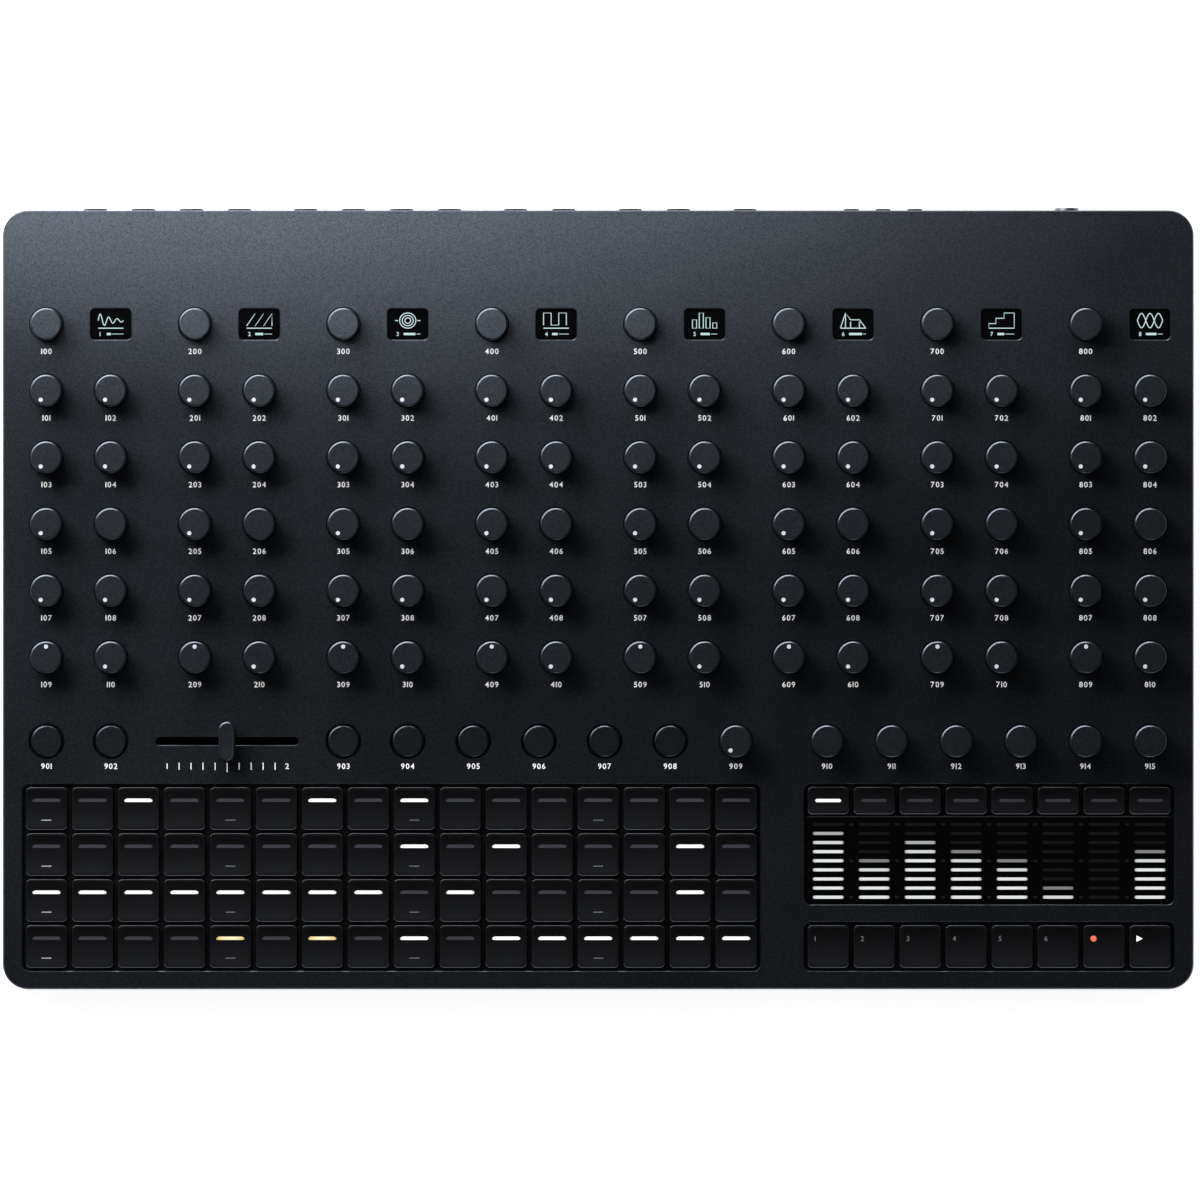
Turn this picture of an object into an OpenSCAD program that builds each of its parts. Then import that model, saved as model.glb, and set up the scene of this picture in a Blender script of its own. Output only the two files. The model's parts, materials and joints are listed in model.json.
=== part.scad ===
// Desktop drum machine: a flat face plate full of knobs, a 16 x 4 grid of step pads with light
// windows, eight small screens, a crossfader and a touch strip, on a shallow case with its
// sockets along the rear wall.
// Millimetres, +Z up, +X to the right, +Y to the rear. The origin is at the middle of the
// object's box, on the plane that its feet stand on.

/* [Case] */
// Width of the face plate, left to right
face_w = 470; // [468:0.5:472]
// Depth of the face plate, front to rear
face_d = 307.5; // [306.5:0.5:309]
// Thickness of the face plate
face_t = 2.5; // [2:0.5:3]
// Corner radius of the face plate, seen from above
corner_r = 10; // [9:0.5:12]
// Bevel round the face plate's upper edge
face_bevel = 0.5; // [0.3:0.1:0.8]
// Chamfer round the openings in the face plate
opening_bevel = 0.3; // [0.1:0.05:0.4]
// Height of the case, from the base to the top of the face plate
case_h = 38; // [37:0.5:42]
// Height of the rubber feet
foot_h = 4.5; // [3.5:0.5:6]
// Thickness of the side walls
wall_t = 2.2; // [2:0.1:2.6]
// Step in from the face plate's edge to the side walls
wall_inset = 0.4; // [0.2:0.1:0.6]

/* [Knobs] */
// Distance between neighbouring channels
channel_pitch = 58.6; // [58.2:0.1:59]
// Distance between a channel's two columns of knobs
column_pitch = 25.4; // [25:0.1:25.8]
// Distance between rows of knobs
row_pitch = 26.3; // [26:0.1:26.6]
// Distance from the plate's middle up to the first row of knobs
first_row_y = 108.8; // [108:0.1:109.5]
// Distance from the plate's middle down to the row above the pads
lower_row_y = -55.8; // [-56.5:0.1:-55]
// Diameter of a knob at its foot
knob_d = 13; // [12:0.1:14]
// Height of a knob
knob_h = 12.2; // [10:0.1:14]
// Gap between a knob and the face plate
knob_gap = 0.8; // [0.5:0.1:1.5]
// Diameter of the knobs' shafts
shaft_d = 6; // [5.8:0.1:6.2]

/* [Pads] */
// Distance between neighbouring pads, across
pad_pitch_x = 18.147; // [18:0.001:18.2]
// Distance between neighbouring pads, front to rear
pad_pitch_y = 18.15; // [18.05:0.01:18.25]
// Width of a pad
pad_w = 16.3; // [15.8:0.1:16.6]
// Depth of a pad
pad_d = 16.7; // [16:0.1:16.9]
// Depth of a channel's select pad
select_d = 10.7; // [10:0.1:11]
// Height of the pads above the face plate
pad_proud = 0.5; // [0.2:0.1:1]
// Gap between the pads and the edge of their opening
pad_margin = 1.35; // [1.1:0.05:1.5]
// Distance from the plate's middle down to the first row of step pads
first_pad_y = -82.4; // [-83:0.1:-82]

/* [Fader] */
// Travel of the crossfader, end to end
fader_travel = 45; // [40:1:48]
// Length of the slot in the face plate
fader_slot_l = 56.4; // [54:0.2:58]
// Width of the slot in the face plate
fader_slot_w = 3.2; // [2.8:0.1:3.6]
// Middle of the slot, from the plate's middle
fader_x = -146.5; // [-148:0.1:-145]

/* [Rear] */
// Radius of the bore of a 6.35 mm phone socket
phone_bore_r = 3.25; // [3.2:0.01:3.3]
// Depth of a phone socket's bore
phone_bore_l = 31; // [28:1:32]
// Outside diameter of a phone socket's nose
phone_nose_d = 9.3; // [9:0.1:9.6]
// Radius of the bore of a 3.5 mm socket
mini_bore_r = 1.8; // [1.78:0.01:1.85]
// Depth of a 3.5 mm socket's bore
mini_bore_l = 14.5; // [13:0.5:16]
// Outside diameter of a 3.5 mm socket's nose
mini_nose_d = 6.1; // [6:0.1:6.4]
// How far the sockets' noses stand out behind the face plate
nose_proud = 0.8; // [0.5:0.1:1.2]
// How far the power button stands out behind the face plate
button_proud = 1.2; // [1:0.1:1.6]

/* [Hidden] */
$fn = 64;

CHANNELS = 8;
CHANNEL_ROWS = 6;
STEP_COLUMNS = 16;
STEP_ROWS = 4;

// Heights, from the plane that the feet stand on
z_base = foot_h;
base_t = 1.6;
z_floor = z_base + base_t;
z_face = z_base + case_h;
z_under = z_face - face_t;
board_t = 1.6;
pot_h = 6.6;
z_board = z_under - 1.2 - pot_h;
z_board_under = z_board - board_t;
main_board_z = 12;
z_main = main_board_z + board_t;

// The case is set back by half of what the power button stands out, so the box is centred
body_y = -button_proud / 2;
wall_w = face_w - 2 * wall_inset;
wall_d = face_d - 2 * wall_inset;
wall_r = corner_r - wall_inset;
inner_w = wall_w - 2 * wall_t;
inner_d = wall_d - 2 * wall_t;
inner_r = wall_r - wall_t;
rear_y = face_d / 2;

// Knobs
first_column_x = -((CHANNELS - 1) * channel_pitch + column_pitch) / 2;
last_column_x = -first_column_x;
knob_z = z_face + knob_gap;
knob_draft = 0.1;
// The flat top is bounded by a shallow cut rim, which a small round edge joins to the side
knob_edge = 0.3;
knob_rim_w = 0.45;
knob_rim_slope = 22.5;
shaft_r = shaft_d / 2;
shaft_clearance = 0.08;
shaft_hole_r = shaft_r + 0.7;
shaft_bottom = z_board + 1.2;
shaft_top = knob_z + 9;
shaft_flat = 1.5;
dot_r = 0.7;
dot_depth = 0.4;
dot_orbit = 4.2;
low_stop = -150;
centre_stop = 0;
no_dot = undef;
sequencer_pitch = 25.5;
sequencer_count = 6;
button_pitch = 25.9;

// Where a channel's knobs are: [row, column, angle of the dot, kind]
CHANNEL_KNOBS = [
    [0, 0, no_dot, "encoder"],
    [1, 0, low_stop, "pot"],
    [1, 1, low_stop, "pot"],
    [2, 0, low_stop, "pot"],
    [2, 1, low_stop, "pot"],
    [3, 0, low_stop, "pot"],
    [3, 1, no_dot, "encoder"],
    [4, 0, low_stop, "pot"],
    [4, 1, low_stop, "pot"],
    [5, 0, centre_stop, "pot"],
    [5, 1, low_stop, "pot"]
];
KNOB_LABELS = ["selector", "a", "pitch", "b", "decay", "c", "lfo", "fx1", "fx2", "pan", "volume"];

// Pads
pad_r = 1.9;
pad_bevel = 0.45;
pad_wall = 1.4;
pad_roof = 2.4;
plunger_r = 2.4;
flange_t = 1;
flange_out = 0.45;
guide_t = 2;
guide_clearance = 0.3;
guide_rim = 0.9;
// The domes press each flange up against its guide, with this much play
flange_play = 0.05;
z_pad_top = z_face + pad_proud;
z_pad_foot = z_under - guide_t - flange_play - flange_t;
pad_h = z_pad_top - z_pad_foot;
// Room between a pad and its dome: the pad's travel, and a little over
dome_room = 1;
mat_t = 1;
dome_h = z_pad_foot - dome_room - z_board - mat_t;
first_pad_x = first_column_x;
right_pad_x = last_column_x - (CHANNELS - 1) * pad_pitch_x;
select_pad_y = -79.25;
function_pad_y = first_pad_y - (STEP_ROWS - 1) * pad_pitch_y;
window_l = 11.4;
window_w = 1.5;
window_t = 1.2;
window_y = 3.1;
window_gap = 0.05;
opening_r = 2.6;
step_opening_w = (STEP_COLUMNS - 1) * pad_pitch_x + pad_w + 2 * pad_margin;
step_opening_d = (STEP_ROWS - 1) * pad_pitch_y + pad_d + 2 * pad_margin;
step_opening_x = first_pad_x + (STEP_COLUMNS - 1) * pad_pitch_x / 2;
step_opening_y = first_pad_y - (STEP_ROWS - 1) * pad_pitch_y / 2;
right_opening_w = (CHANNELS - 1) * pad_pitch_x + pad_w + 2 * pad_margin;
right_opening_x = (right_pad_x + last_column_x) / 2;
function_opening_d = pad_d + 2 * pad_margin;
upper_opening_top = first_pad_y + pad_d / 2 + pad_margin;
upper_opening_bottom = -120.3;

// Touch strip
touch_gap = 0.2;
touch_w = right_opening_w - 2 * touch_gap;
touch_top = select_pad_y - select_d / 2 - 0.8;
touch_bottom = upper_opening_bottom + touch_gap;
touch_d = touch_top - touch_bottom;
touch_y = (touch_top + touch_bottom) / 2;
touch_drop = 0.2;
touch_rows = 9;
touch_row_pitch = 3.594;
touch_first_y = -88.65;
touch_bar_l = 12.4;
touch_bar_w = 1.2;
touch_bevel = 0.2;

// Round buttons
round_d = 12.6;
round_hole_d = 13.8;
round_proud = 0.8;

// Screens
screen_w = 16.1;
screen_d = 12.4;
screen_r = 1.8;
screen_drop = 0.8;
module_w = 18.4;
module_d = 18;
module_t = 3;

// Crossfader
lever_t = 1.2;
lever_w = 4;
fader_cap_w = 7.2;
fader_cap_d = 15.6;
fader_cap_h = 9.6;
track_l = 74;
track_w = 9.6;
track_h = 7;
track_shell = 1;
rod_r = 0.8;
rod_z = 3.2;
rod_spread = 2.2;
rod_clearance = 0.06;

// Sockets along the rear wall, from the plate's middle
PHONE_X = [-198.7, -179.8, -160.8, -141.8, -115.7, -96.7, -77.8, -58.8, -32.7, -13.7, 12.7, 31.7, 58];
MINI_X = [100.1, 112.6, 125.2];
usb_x = 152;
power_x = 185.2;
phone_z = z_main + 6.5;
mini_z = z_main + 4;
power_z = z_main + 6.5;
rear_window_w = 412;
rear_window_x = -4;
rear_window_z = 8.8;
rear_window_h = 25;
rear_flange = 3;
rear_lip = 2;
rear_panel_t = 1.5;
rear_recess = 1;
wall_inner_y = wall_d / 2 - wall_t;
rear_panel_back_y = wall_inner_y - rear_panel_t;
socket_face_y = rear_panel_back_y - 0.15;
nose_tip_y = rear_y + nose_proud;
phone_body = [15, 30, 13];
mini_body = [9, 14, 8];

// Screws, spacers and posts
screw_r = 1.4;
screw_head_r = 2.7;
screw_head_h = 1.8;
screw_l = 5;
thread_r = 1.5;
spacer_r = 2.5;
post_r = 2.1;
post_x = 230.1;
first_gap_x = first_column_x + (channel_pitch + column_pitch) / 2;
gap_x = [for (i = [0 : CHANNELS - 2]) first_gap_x + i * channel_pitch];
POSTS = [
    [-post_x, 128], [-post_x, 30], [-post_x, -64],
    [post_x, 128], [post_x, 30], [post_x, -64],
    [gap_x[1], row_y(2.5)], [gap_x[4], row_y(2.5)],
    [72.5, -80], [72.5, -139]
];
KNOB_BOARD_SPACERS = [for (i = [0, 2, 3, 5, 6]) for (row = [0.5, 3.5]) [gap_x[i], row_y(row)]];
PAD_BOARD_SPACERS = concat([for (x = [-205, -125, -45, 35, 120, 200]) [x, -67.6]], [[72.5, -110]]);
MAIN_BOARD_SPACERS = [for (x = [-208, -70, 70, 198]) for (y = [100, 113]) [x, y]];
FEET = [for (x = [-205, 0, 205]) for (y = [-125, 125]) [x, y]];

// The knobs that turn in nodes of their own, and those that share a node
SOLO_CHANNEL_NODES = [for (name = KNOB_LABELS) str("channel_1_", name, "_knob")];
SELECTOR_NODES = [for (i = [2 : CHANNELS]) str("channel_", i, "_selector_knob")];
SEQUENCER_NODES = [for (i = [1 : sequencer_count]) str("sequencer_knob_", i)];
STEP_NODES = [for (i = [1 : STEP_ROWS]) str("step_pads_row_", i)];

// ---- Where things are ----

function column_x(channel, column) = first_column_x + channel * channel_pitch + column * column_pitch;
function row_y(row) = first_row_y - row * row_pitch;
function pad_x(i) = first_pad_x + i * pad_pitch_x;
function right_x(i) = right_pad_x + i * pad_pitch_x;
function pad_row_y(row) = first_pad_y - row * pad_pitch_y;
function sequencer_x(i) = last_column_x - (sequencer_count - 1 - i) * sequencer_pitch;
function button_x(i) = column_x(2, 1) + i * button_pitch;
// The round buttons: two over the first channel, then a run that starts over the third
ROUND_BUTTONS = concat([column_x(0, 0), column_x(0, 1), column_x(2, 0)], [for (i = [0 : 4]) button_x(i)]);
master_x = button_x(5);
SCREENS = [for (i = [0 : CHANNELS - 1]) [column_x(i, 1), first_row_y]];
// Where all the channels' knobs of one kind are
function channel_points(kind) = [
    for (c = [0 : CHANNELS - 1]) for (k = CHANNEL_KNOBS) if (k[3] == kind) [column_x(c, k[1]), row_y(k[0])]
];
POTS = concat(channel_points("pot"), [[master_x, lower_row_y]]);
SEQUENCER = [for (i = [0 : sequencer_count - 1]) [sequencer_x(i), lower_row_y]];
ENCODERS = concat(channel_points("encoder"), SEQUENCER);

// ---- Shapes that repeat ----

// A rectangle with round corners, about its middle
module rounded_rect(w, d, r) {
    square([w - 2 * r, d], center = true);
    square([w, d - 2 * r], center = true);
    for (x = [-1, 1]) for (y = [-1, 1])
        translate([x * (w / 2 - r), y * (d / 2 - r)]) circle(r);
}

// A bar with round ends, lying along X
module stadium(l, w) {
    square([l - w, w], center = true);
    for (x = [-1, 1]) translate([x * (l - w) / 2, 0]) circle(w / 2);
}

// A slab with round corners and a bevel round its upper edge, standing on z = 0
module bevelled_slab(w, d, r, h, bevel) {
    across = w - 2 * r;
    along = d - 2 * r;
    half = d / 2;
    rotate([90, 0, 90]) translate([0, 0, -across / 2]) linear_extrude(across) polygon([
        [-half, 0], [half, 0], [half, h - bevel], [half - bevel, h], [bevel - half, h], [-half, h - bevel]
    ]);
    for (side = [0, 1]) rotate(180 * side) {
        translate([w / 2 - r, along / 2, 0]) rotate([90, 0, 0]) linear_extrude(along)
            polygon([[0, 0], [r, 0], [r, h - bevel], [r - bevel, h], [0, h]]);
        translate([w / 2 - r, along / 2, 0]) bevelled_corner(r, h, bevel);
        translate([-w / 2 + r, along / 2, 0]) rotate(90) bevelled_corner(r, h, bevel);
    }
}

module bevelled_corner(r, h, bevel) {
    rotate_extrude(angle = 90)
        polygon([[0, 0], [r, 0], [r, h - bevel], [r - bevel, h], [0, h]]);
}

// Puts its children at each point, in the case's own plan
module at(points) {
    for (p = points) translate([p[0], p[1] + body_y, 0]) children();
}

module in_case() {
    translate([0, body_y, 0]) children();
}

// ---- Case ----

// The face plate's openings that have straight sides: [middle, width, depth, corner radius]
STRAIGHT_OPENINGS = concat(
    [for (p = SCREENS) [p, screen_w, screen_d, screen_r]],
    [
        [[fader_x, lower_row_y], fader_slot_l, fader_slot_w, fader_slot_w / 2 - 0.02],
        [[step_opening_x, step_opening_y], step_opening_w, step_opening_d, opening_r],
        [[right_opening_x, (upper_opening_top + upper_opening_bottom) / 2],
            right_opening_w, upper_opening_top - upper_opening_bottom, opening_r],
        [[right_opening_x, function_pad_y], right_opening_w, function_opening_d, opening_r]
    ]
);

module face_openings() {
    for (p = concat(POTS, ENCODERS)) translate(p) circle(shaft_hole_r);
    for (x = ROUND_BUTTONS) translate([x, lower_row_y]) circle(round_hole_d / 2);
    for (o = STRAIGHT_OPENINGS) translate(o[0]) rounded_rect(o[1], o[2], o[3]);
}

// What is cut away round the upper edge of each opening that shows
module opening_chamfers() {
    grow = 2 * opening_bevel;
    for (o = STRAIGHT_OPENINGS) translate(o[0]) mirror([0, 0, 1])
        bevelled_slab(o[1] + grow, o[2] + grow, o[3] + opening_bevel, opening_bevel, opening_bevel);
    for (x = ROUND_BUTTONS) translate([x, lower_row_y, -opening_bevel])
        cylinder(d1 = round_hole_d, d2 = round_hole_d + grow, h = opening_bevel);
}

module face_plate() {
    color("#23272c") in_case() difference() {
        translate([0, 0, z_under]) bevelled_slab(face_w, face_d, corner_r, face_t, face_bevel);
        translate([0, 0, z_under - 1]) linear_extrude(face_t + 2) face_openings();
        translate([0, 0, z_face]) opening_chamfers();
    }
}

module side_frame() {
    ledge_w = 3;
    ledge_t = 1.6;
    color("#1e2226") in_case() difference() {
        union() {
            translate([0, 0, z_base]) linear_extrude(z_under - z_base) difference() {
                rounded_rect(wall_w, wall_d, wall_r);
                rounded_rect(inner_w, inner_d, inner_r);
            }
            // the ledge that the base cover is drawn up against
            translate([0, 0, z_floor]) linear_extrude(ledge_t) difference() {
                rounded_rect(inner_w + 1, inner_d + 1, inner_r + 0.5);
                rounded_rect(inner_w - 2 * ledge_w, inner_d - 2 * ledge_w, inner_r - ledge_w);
            }
        }
        translate([rear_window_x, wall_d / 2, rear_window_z + rear_window_h / 2])
            rotate([90, 0, 0]) translate([0, 0, -1]) linear_extrude(wall_t + 2)
                rounded_rect(rear_window_w, rear_window_h, 2);
        // the ledge is cut away for the posts
        for (p = POSTS) translate([p[0], p[1], z_floor - 1]) cylinder(r = post_r + 0.3, h = ledge_t + 2);
    }
}

module base_cover() {
    edge_gap = 0.3;
    vent_l = 22;
    vent_w = 2.4;
    vent_pitch = 6;
    vents = 7;
    // The vents lie between the posts' screws
    vent_x = 150;
    vent_y = 40;
    color("#17191c") in_case() translate([0, 0, z_base]) linear_extrude(base_t) difference() {
        rounded_rect(inner_w - 2 * edge_gap, inner_d - 2 * edge_gap, inner_r - edge_gap);
        for (p = concat(POSTS, MAIN_BOARD_SPACERS)) translate(p) circle(screw_r + 0.2);
        for (x = [-1, 1]) for (i = [0 : vents - 1])
            translate([x * vent_x, vent_y + (i - (vents - 1) / 2) * vent_pitch]) stadium(vent_l, vent_w);
    }
}

module rubber_feet() {
    foot_r = 8;
    color("#0d0d0e") at(FEET) rotate_extrude()
        polygon([[0, 0], [foot_r - 1.2, 0], [foot_r - 0.4, 0.8], [foot_r, z_base], [0, z_base]]);
}

module rear_openings() {
    clearance = 0.2;
    for (x = PHONE_X) translate([x, phone_z]) circle(phone_nose_d / 2 + clearance);
    for (x = MINI_X) translate([x, mini_z]) circle(mini_nose_d / 2 + clearance);
    translate([power_x, power_z]) circle(4.75 + clearance);
    translate([usb_x, z_main + 1.6]) rounded_rect(9.8, 4, 1.9);
}

module rear_panel() {
    z_mid = rear_window_z + rear_window_h / 2;
    clearance = 0.2;
    color("#15171a") in_case() difference() {
        union() {
            translate([rear_window_x, wall_inner_y + wall_t - rear_recess, z_mid]) rotate([90, 0, 0])
                linear_extrude(wall_t - rear_recess + rear_panel_t)
                    rounded_rect(rear_window_w - 2 * clearance, rear_window_h - 2 * clearance, 2 - clearance);
            translate([rear_window_x, wall_inner_y, z_mid]) rotate([90, 0, 0])
                linear_extrude(rear_panel_t)
                    square([rear_window_w + 2 * rear_flange, rear_window_h + rear_lip], center = true);
        }
        translate([0, wall_d / 2 + 1, 0]) rotate([90, 0, 0]) linear_extrude(wall_t + rear_panel_t + 3)
            rear_openings();
    }
}

// ---- Screws, posts and spacers ----

// An M3 screw that points up, with the underside of its head at z = 0
module m3_screw() {
    translate([0, 0, -screw_head_h]) difference() {
        rotate_extrude() polygon([
            [0, 0], [screw_head_r - 0.9, 0], [screw_head_r - 0.2, 0.6], [screw_head_r, screw_head_h],
            [screw_r, screw_head_h], [screw_r, screw_head_h + screw_l], [0, screw_head_h + screw_l]
        ]);
        translate([0, 0, -1]) cylinder(r = 1.15, h = 2, $fn = 6);
    }
}

module m3_screws() {
    color("#2a2b2d") {
        at(concat(POSTS, MAIN_BOARD_SPACERS)) translate([0, 0, z_base]) m3_screw();
        at(concat(KNOB_BOARD_SPACERS, PAD_BOARD_SPACERS)) translate([0, 0, z_board_under]) m3_screw();
    }
}

// A round spacer with a tapped hole in its lower end
module spacer(r, z0, z1) {
    difference() {
        translate([0, 0, z0]) cylinder(r = r, h = z1 - z0);
        translate([0, 0, z0 - 1]) cylinder(r = thread_r, h = 5.4);
    }
}

module board_spacers() {
    color("#b8a878") {
        at(POSTS) spacer(post_r, z_floor, z_under);
        at(concat(KNOB_BOARD_SPACERS, PAD_BOARD_SPACERS)) spacer(spacer_r, z_board, z_under);
        at(MAIN_BOARD_SPACERS) spacer(spacer_r, z_floor, main_board_z);
    }
}

// ---- Boards and what is on them ----

module knob_board() {
    color("#1c3a2a") in_case() translate([0, 0, z_board_under]) linear_extrude(board_t) difference() {
        translate([0, (122 - 63.6) / 2]) rounded_rect(449, 122 + 63.6, 2);
        for (p = KNOB_BOARD_SPACERS) translate(p) circle(screw_r + 0.2);
        for (p = POSTS) translate(p) circle(post_r + 0.5);
    }
}

module pad_board() {
    front = -149;
    back = -64.6;
    color("#1c3a2a") in_case() translate([0, 0, z_board_under]) linear_extrude(board_t) difference() {
        translate([0, (front + back) / 2]) rounded_rect(455, back - front, 2);
        for (p = PAD_BOARD_SPACERS) translate(p) circle(screw_r + 0.2);
        for (p = POSTS) translate(p) circle(post_r + 0.5);
    }
}

module main_board() {
    front = 92;
    back = 149;
    color("#1c3a2a") in_case() translate([0, 0, main_board_z]) {
        linear_extrude(board_t) difference() {
            translate([-5, (front + back) / 2]) rounded_rect(420, back - front, 2);
            for (p = MAIN_BOARD_SPACERS) translate(p) circle(screw_r + 0.2);
        }
        // the processor, its memory and the row of converters
        translate([-18, 100, board_t]) cube([16, 16, 1.4]);
        translate([4, 102, board_t]) cube([11, 9, 1.1]);
        for (x = [-170 : 45 : -80]) translate([x, 103, board_t]) cube([8, 6, 1.2]);
    }
}

// A flat ribbon whose side view eases from one height to another
module ribbon(x, w, y0, z0, y1, z1, t) {
    steps = 14;
    function ease(s) = s * s * (3 - 2 * s);
    lower = [for (i = [0 : steps]) let (s = i / steps) [y0 + (y1 - y0) * s, z0 + (z1 - z0) * ease(s)]];
    upper = [for (i = [steps : -1 : 0]) lower[i] + [0, t]];
    translate([x - w / 2, 0, 0]) rotate([90, 0, 90]) linear_extrude(w) polygon(concat(lower, upper));
}

module ribbon_cables() {
    connector_h = 3;
    ribbon_t = 0.8;
    color("#8d8f92") in_case() {
        for (x = [-150, 40]) {
            translate([x - 16, 93, z_main]) cube([32, 5, connector_h]);
            translate([x - 16, 60, z_board_under - connector_h]) cube([32, 5, connector_h]);
            ribbon(x, 26, 93, z_main + 1, 65, z_board_under - connector_h + 1, ribbon_t);
        }
        translate([145 - 16, 93, z_main]) cube([32, 5, connector_h]);
        translate([145 - 16, -90, z_board_under - connector_h]) cube([32, 5, connector_h]);
        ribbon(145, 26, 93, z_main + 1, -85, z_board_under - connector_h + 1, ribbon_t);
    }
}

// The body of a rotary part, with the bore that its shaft turns in
module rotary_body(w, d) {
    collar_h = 0.6;
    difference() {
        union() {
            translate([-w / 2, -d / 2, z_board]) cube([w, d, pot_h]);
            translate([0, 0, z_board + pot_h]) cylinder(r = shaft_r + 0.9, h = collar_h);
        }
        translate([0, 0, shaft_bottom - 0.3]) cylinder(r = shaft_r + shaft_clearance, h = pot_h + 2);
    }
}

module potentiometers() {
    color("#3b4a3f") at(POTS) rotary_body(9.8, 11.2);
}

module encoders() {
    color("#9a9da0") at(ENCODERS) rotary_body(11.4, 11.4);
}

// The fader's pair of slide rods, as bars of the given radius and length
module slide_rods(r, l) {
    for (side = [-1, 1]) translate([-l / 2, side * rod_spread, rod_z])
        rotate([0, 90, 0]) cylinder(r = r, h = l);
}

// A long case that the fader's carriage runs in, on two rods held by its ends
module fader_track() {
    slot_w = 2.6;
    end_wall = 4;
    cavity_l = track_l - 2 * end_wall;
    color("#8f9296") in_case() translate([fader_x, lower_row_y, z_board]) {
        difference() {
            translate([-track_l / 2, -track_w / 2, 0]) cube([track_l, track_w, track_h]);
            translate([-cavity_l / 2, -track_w / 2 + track_shell, track_shell])
                cube([cavity_l, track_w - 2 * track_shell, track_h - 2 * track_shell]);
            translate([-fader_slot_l / 2, -slot_w / 2, track_h - 2 * track_shell])
                cube([fader_slot_l, slot_w, 3 * track_shell]);
        }
        slide_rods(rod_r, cavity_l);
    }
}

module screen_modules() {
    color("#101214") at(SCREENS) translate([-module_w / 2, -module_d / 2, z_under - module_t])
        cube([module_w, module_d, module_t]);
}

module screen_lenses() {
    fit = 0.1;
    color("#030304") at(SCREENS) translate([0, 0, z_under]) linear_extrude(face_t - screen_drop)
        rounded_rect(screen_w - 2 * fit, screen_d - 2 * fit, screen_r - fit);
}

// ---- Sockets ----

// A board-mounted socket whose nose goes out through the rear panel, with its bore open to the rear
module socket(size, z_axis, nose_r, bore_r, bore_l) {
    lip = 0.3;
    nose_l = nose_tip_y - socket_face_y + 1;
    difference() {
        union() {
            translate([-size[0] / 2, socket_face_y - size[1], z_main]) cube(size);
            translate([0, socket_face_y - 1, z_axis]) rotate([-90, 0, 0]) rotate_extrude()
                polygon([[0, 0], [nose_r, 0], [nose_r, nose_l - lip], [nose_r - lip, nose_l], [0, nose_l]]);
        }
        translate([0, nose_tip_y - bore_l, z_axis]) rotate([-90, 0, 0]) cylinder(r = bore_r, h = bore_l + 1);
    }
}

module phone_jacks() {
    color("#1a1b1d") at([for (x = PHONE_X) [x, 0]])
        socket(phone_body, phone_z, phone_nose_d / 2, phone_bore_r, phone_bore_l);
}

module mini_jacks() {
    color("#1a1b1d") at([for (x = MINI_X) [x, 0]])
        socket(mini_body, mini_z, mini_nose_d / 2, mini_bore_r, mini_bore_l);
}

module usb_port() {
    shell_w = 9;
    shell_h = 3.2;
    shell_l = 10;
    wall = 0.35;
    mouth_y = wall_d / 2 - rear_recess - 0.2;
    color("#a8abae") in_case() translate([usb_x, mouth_y, z_main + shell_h / 2]) rotate([90, 0, 0]) {
        difference() {
            linear_extrude(shell_l) stadium(shell_w, shell_h);
            translate([0, 0, -1]) linear_extrude(shell_l - 1) stadium(shell_w - 2 * wall, shell_h - 2 * wall);
        }
        // the tongue that carries the contacts
        translate([-3.3, -0.35, 2]) cube([6.6, 0.7, shell_l - 2.5]);
    }
}

module power_switch() {
    size = 12;
    depth = 14;
    color("#202226") in_case() difference() {
        translate([power_x - size / 2, socket_face_y - depth, z_main]) cube([size, depth, size + 1]);
        translate([power_x, socket_face_y - 8, power_z]) rotate([-90, 0, 0]) cylinder(r = 2.3, h = 9);
    }
}

module power_button() {
    cap_r = 4.75;
    cap_y = socket_face_y + 1.3;
    tip_y = rear_y + button_proud;
    edge = 0.4;
    color("#3a3d42") in_case() translate([power_x, 0, power_z]) rotate([-90, 0, 0]) rotate_extrude()
        polygon([[0, socket_face_y - 6], [2, socket_face_y - 6], [2, cap_y], [cap_r, cap_y],
                 [cap_r, tip_y - edge], [cap_r - edge, tip_y], [0, tip_y]]);
}

// ---- Knobs ----

// The side view of a knob's cap: a slight draft, a round edge, a cut rim, and a recess under the skirt
function cap_outline() =
    let (
        r = knob_d / 2, hub_r = 4.3, skirt_r = r - 1, recess = 3.5,
        edge_end = 90 - knob_rim_slope,
        rim_rise = knob_rim_w * tan(knob_rim_slope),
        rim_foot_z = knob_h - rim_rise,
        centre = [r - knob_draft - knob_edge, rim_foot_z - knob_edge * sin(edge_end)]
    )
    concat(
        [[0, 0], [hub_r, 0], [hub_r, recess], [skirt_r, recess], [skirt_r, 0], [r, 0]],
        [for (a = [0 : 22.5 : edge_end]) centre + knob_edge * [cos(a), sin(a)]],
        [[centre[0] + knob_edge * cos(edge_end) - knob_rim_w, knob_h], [0, knob_h]]
    );

// A shaft's section: a circle with a flat on one side
module d_section(r) {
    difference() {
        circle(r);
        translate([shaft_flat + (r - shaft_r), -2 * r]) square([2 * r, 4 * r]);
    }
}

module knob_cap(dot_angle) {
    translate([0, 0, knob_z]) difference() {
        rotate_extrude() polygon(cap_outline());
        translate([0, 0, -1]) linear_extrude(shaft_top - knob_z + 1.1) d_section(shaft_r + 0.03);
        if (!is_undef(dot_angle)) rotate(-dot_angle) translate([0, dot_orbit, knob_h - dot_depth])
            cylinder(r = dot_r, h = 1);
    }
}

module knob_shaft() {
    seat_gap = 0.05;
    translate([0, 0, shaft_bottom]) cylinder(r = shaft_r, h = knob_z - seat_gap - shaft_bottom);
    translate([0, 0, knob_z - 1]) linear_extrude(shaft_top - knob_z + 1) d_section(shaft_r);
}

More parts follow.
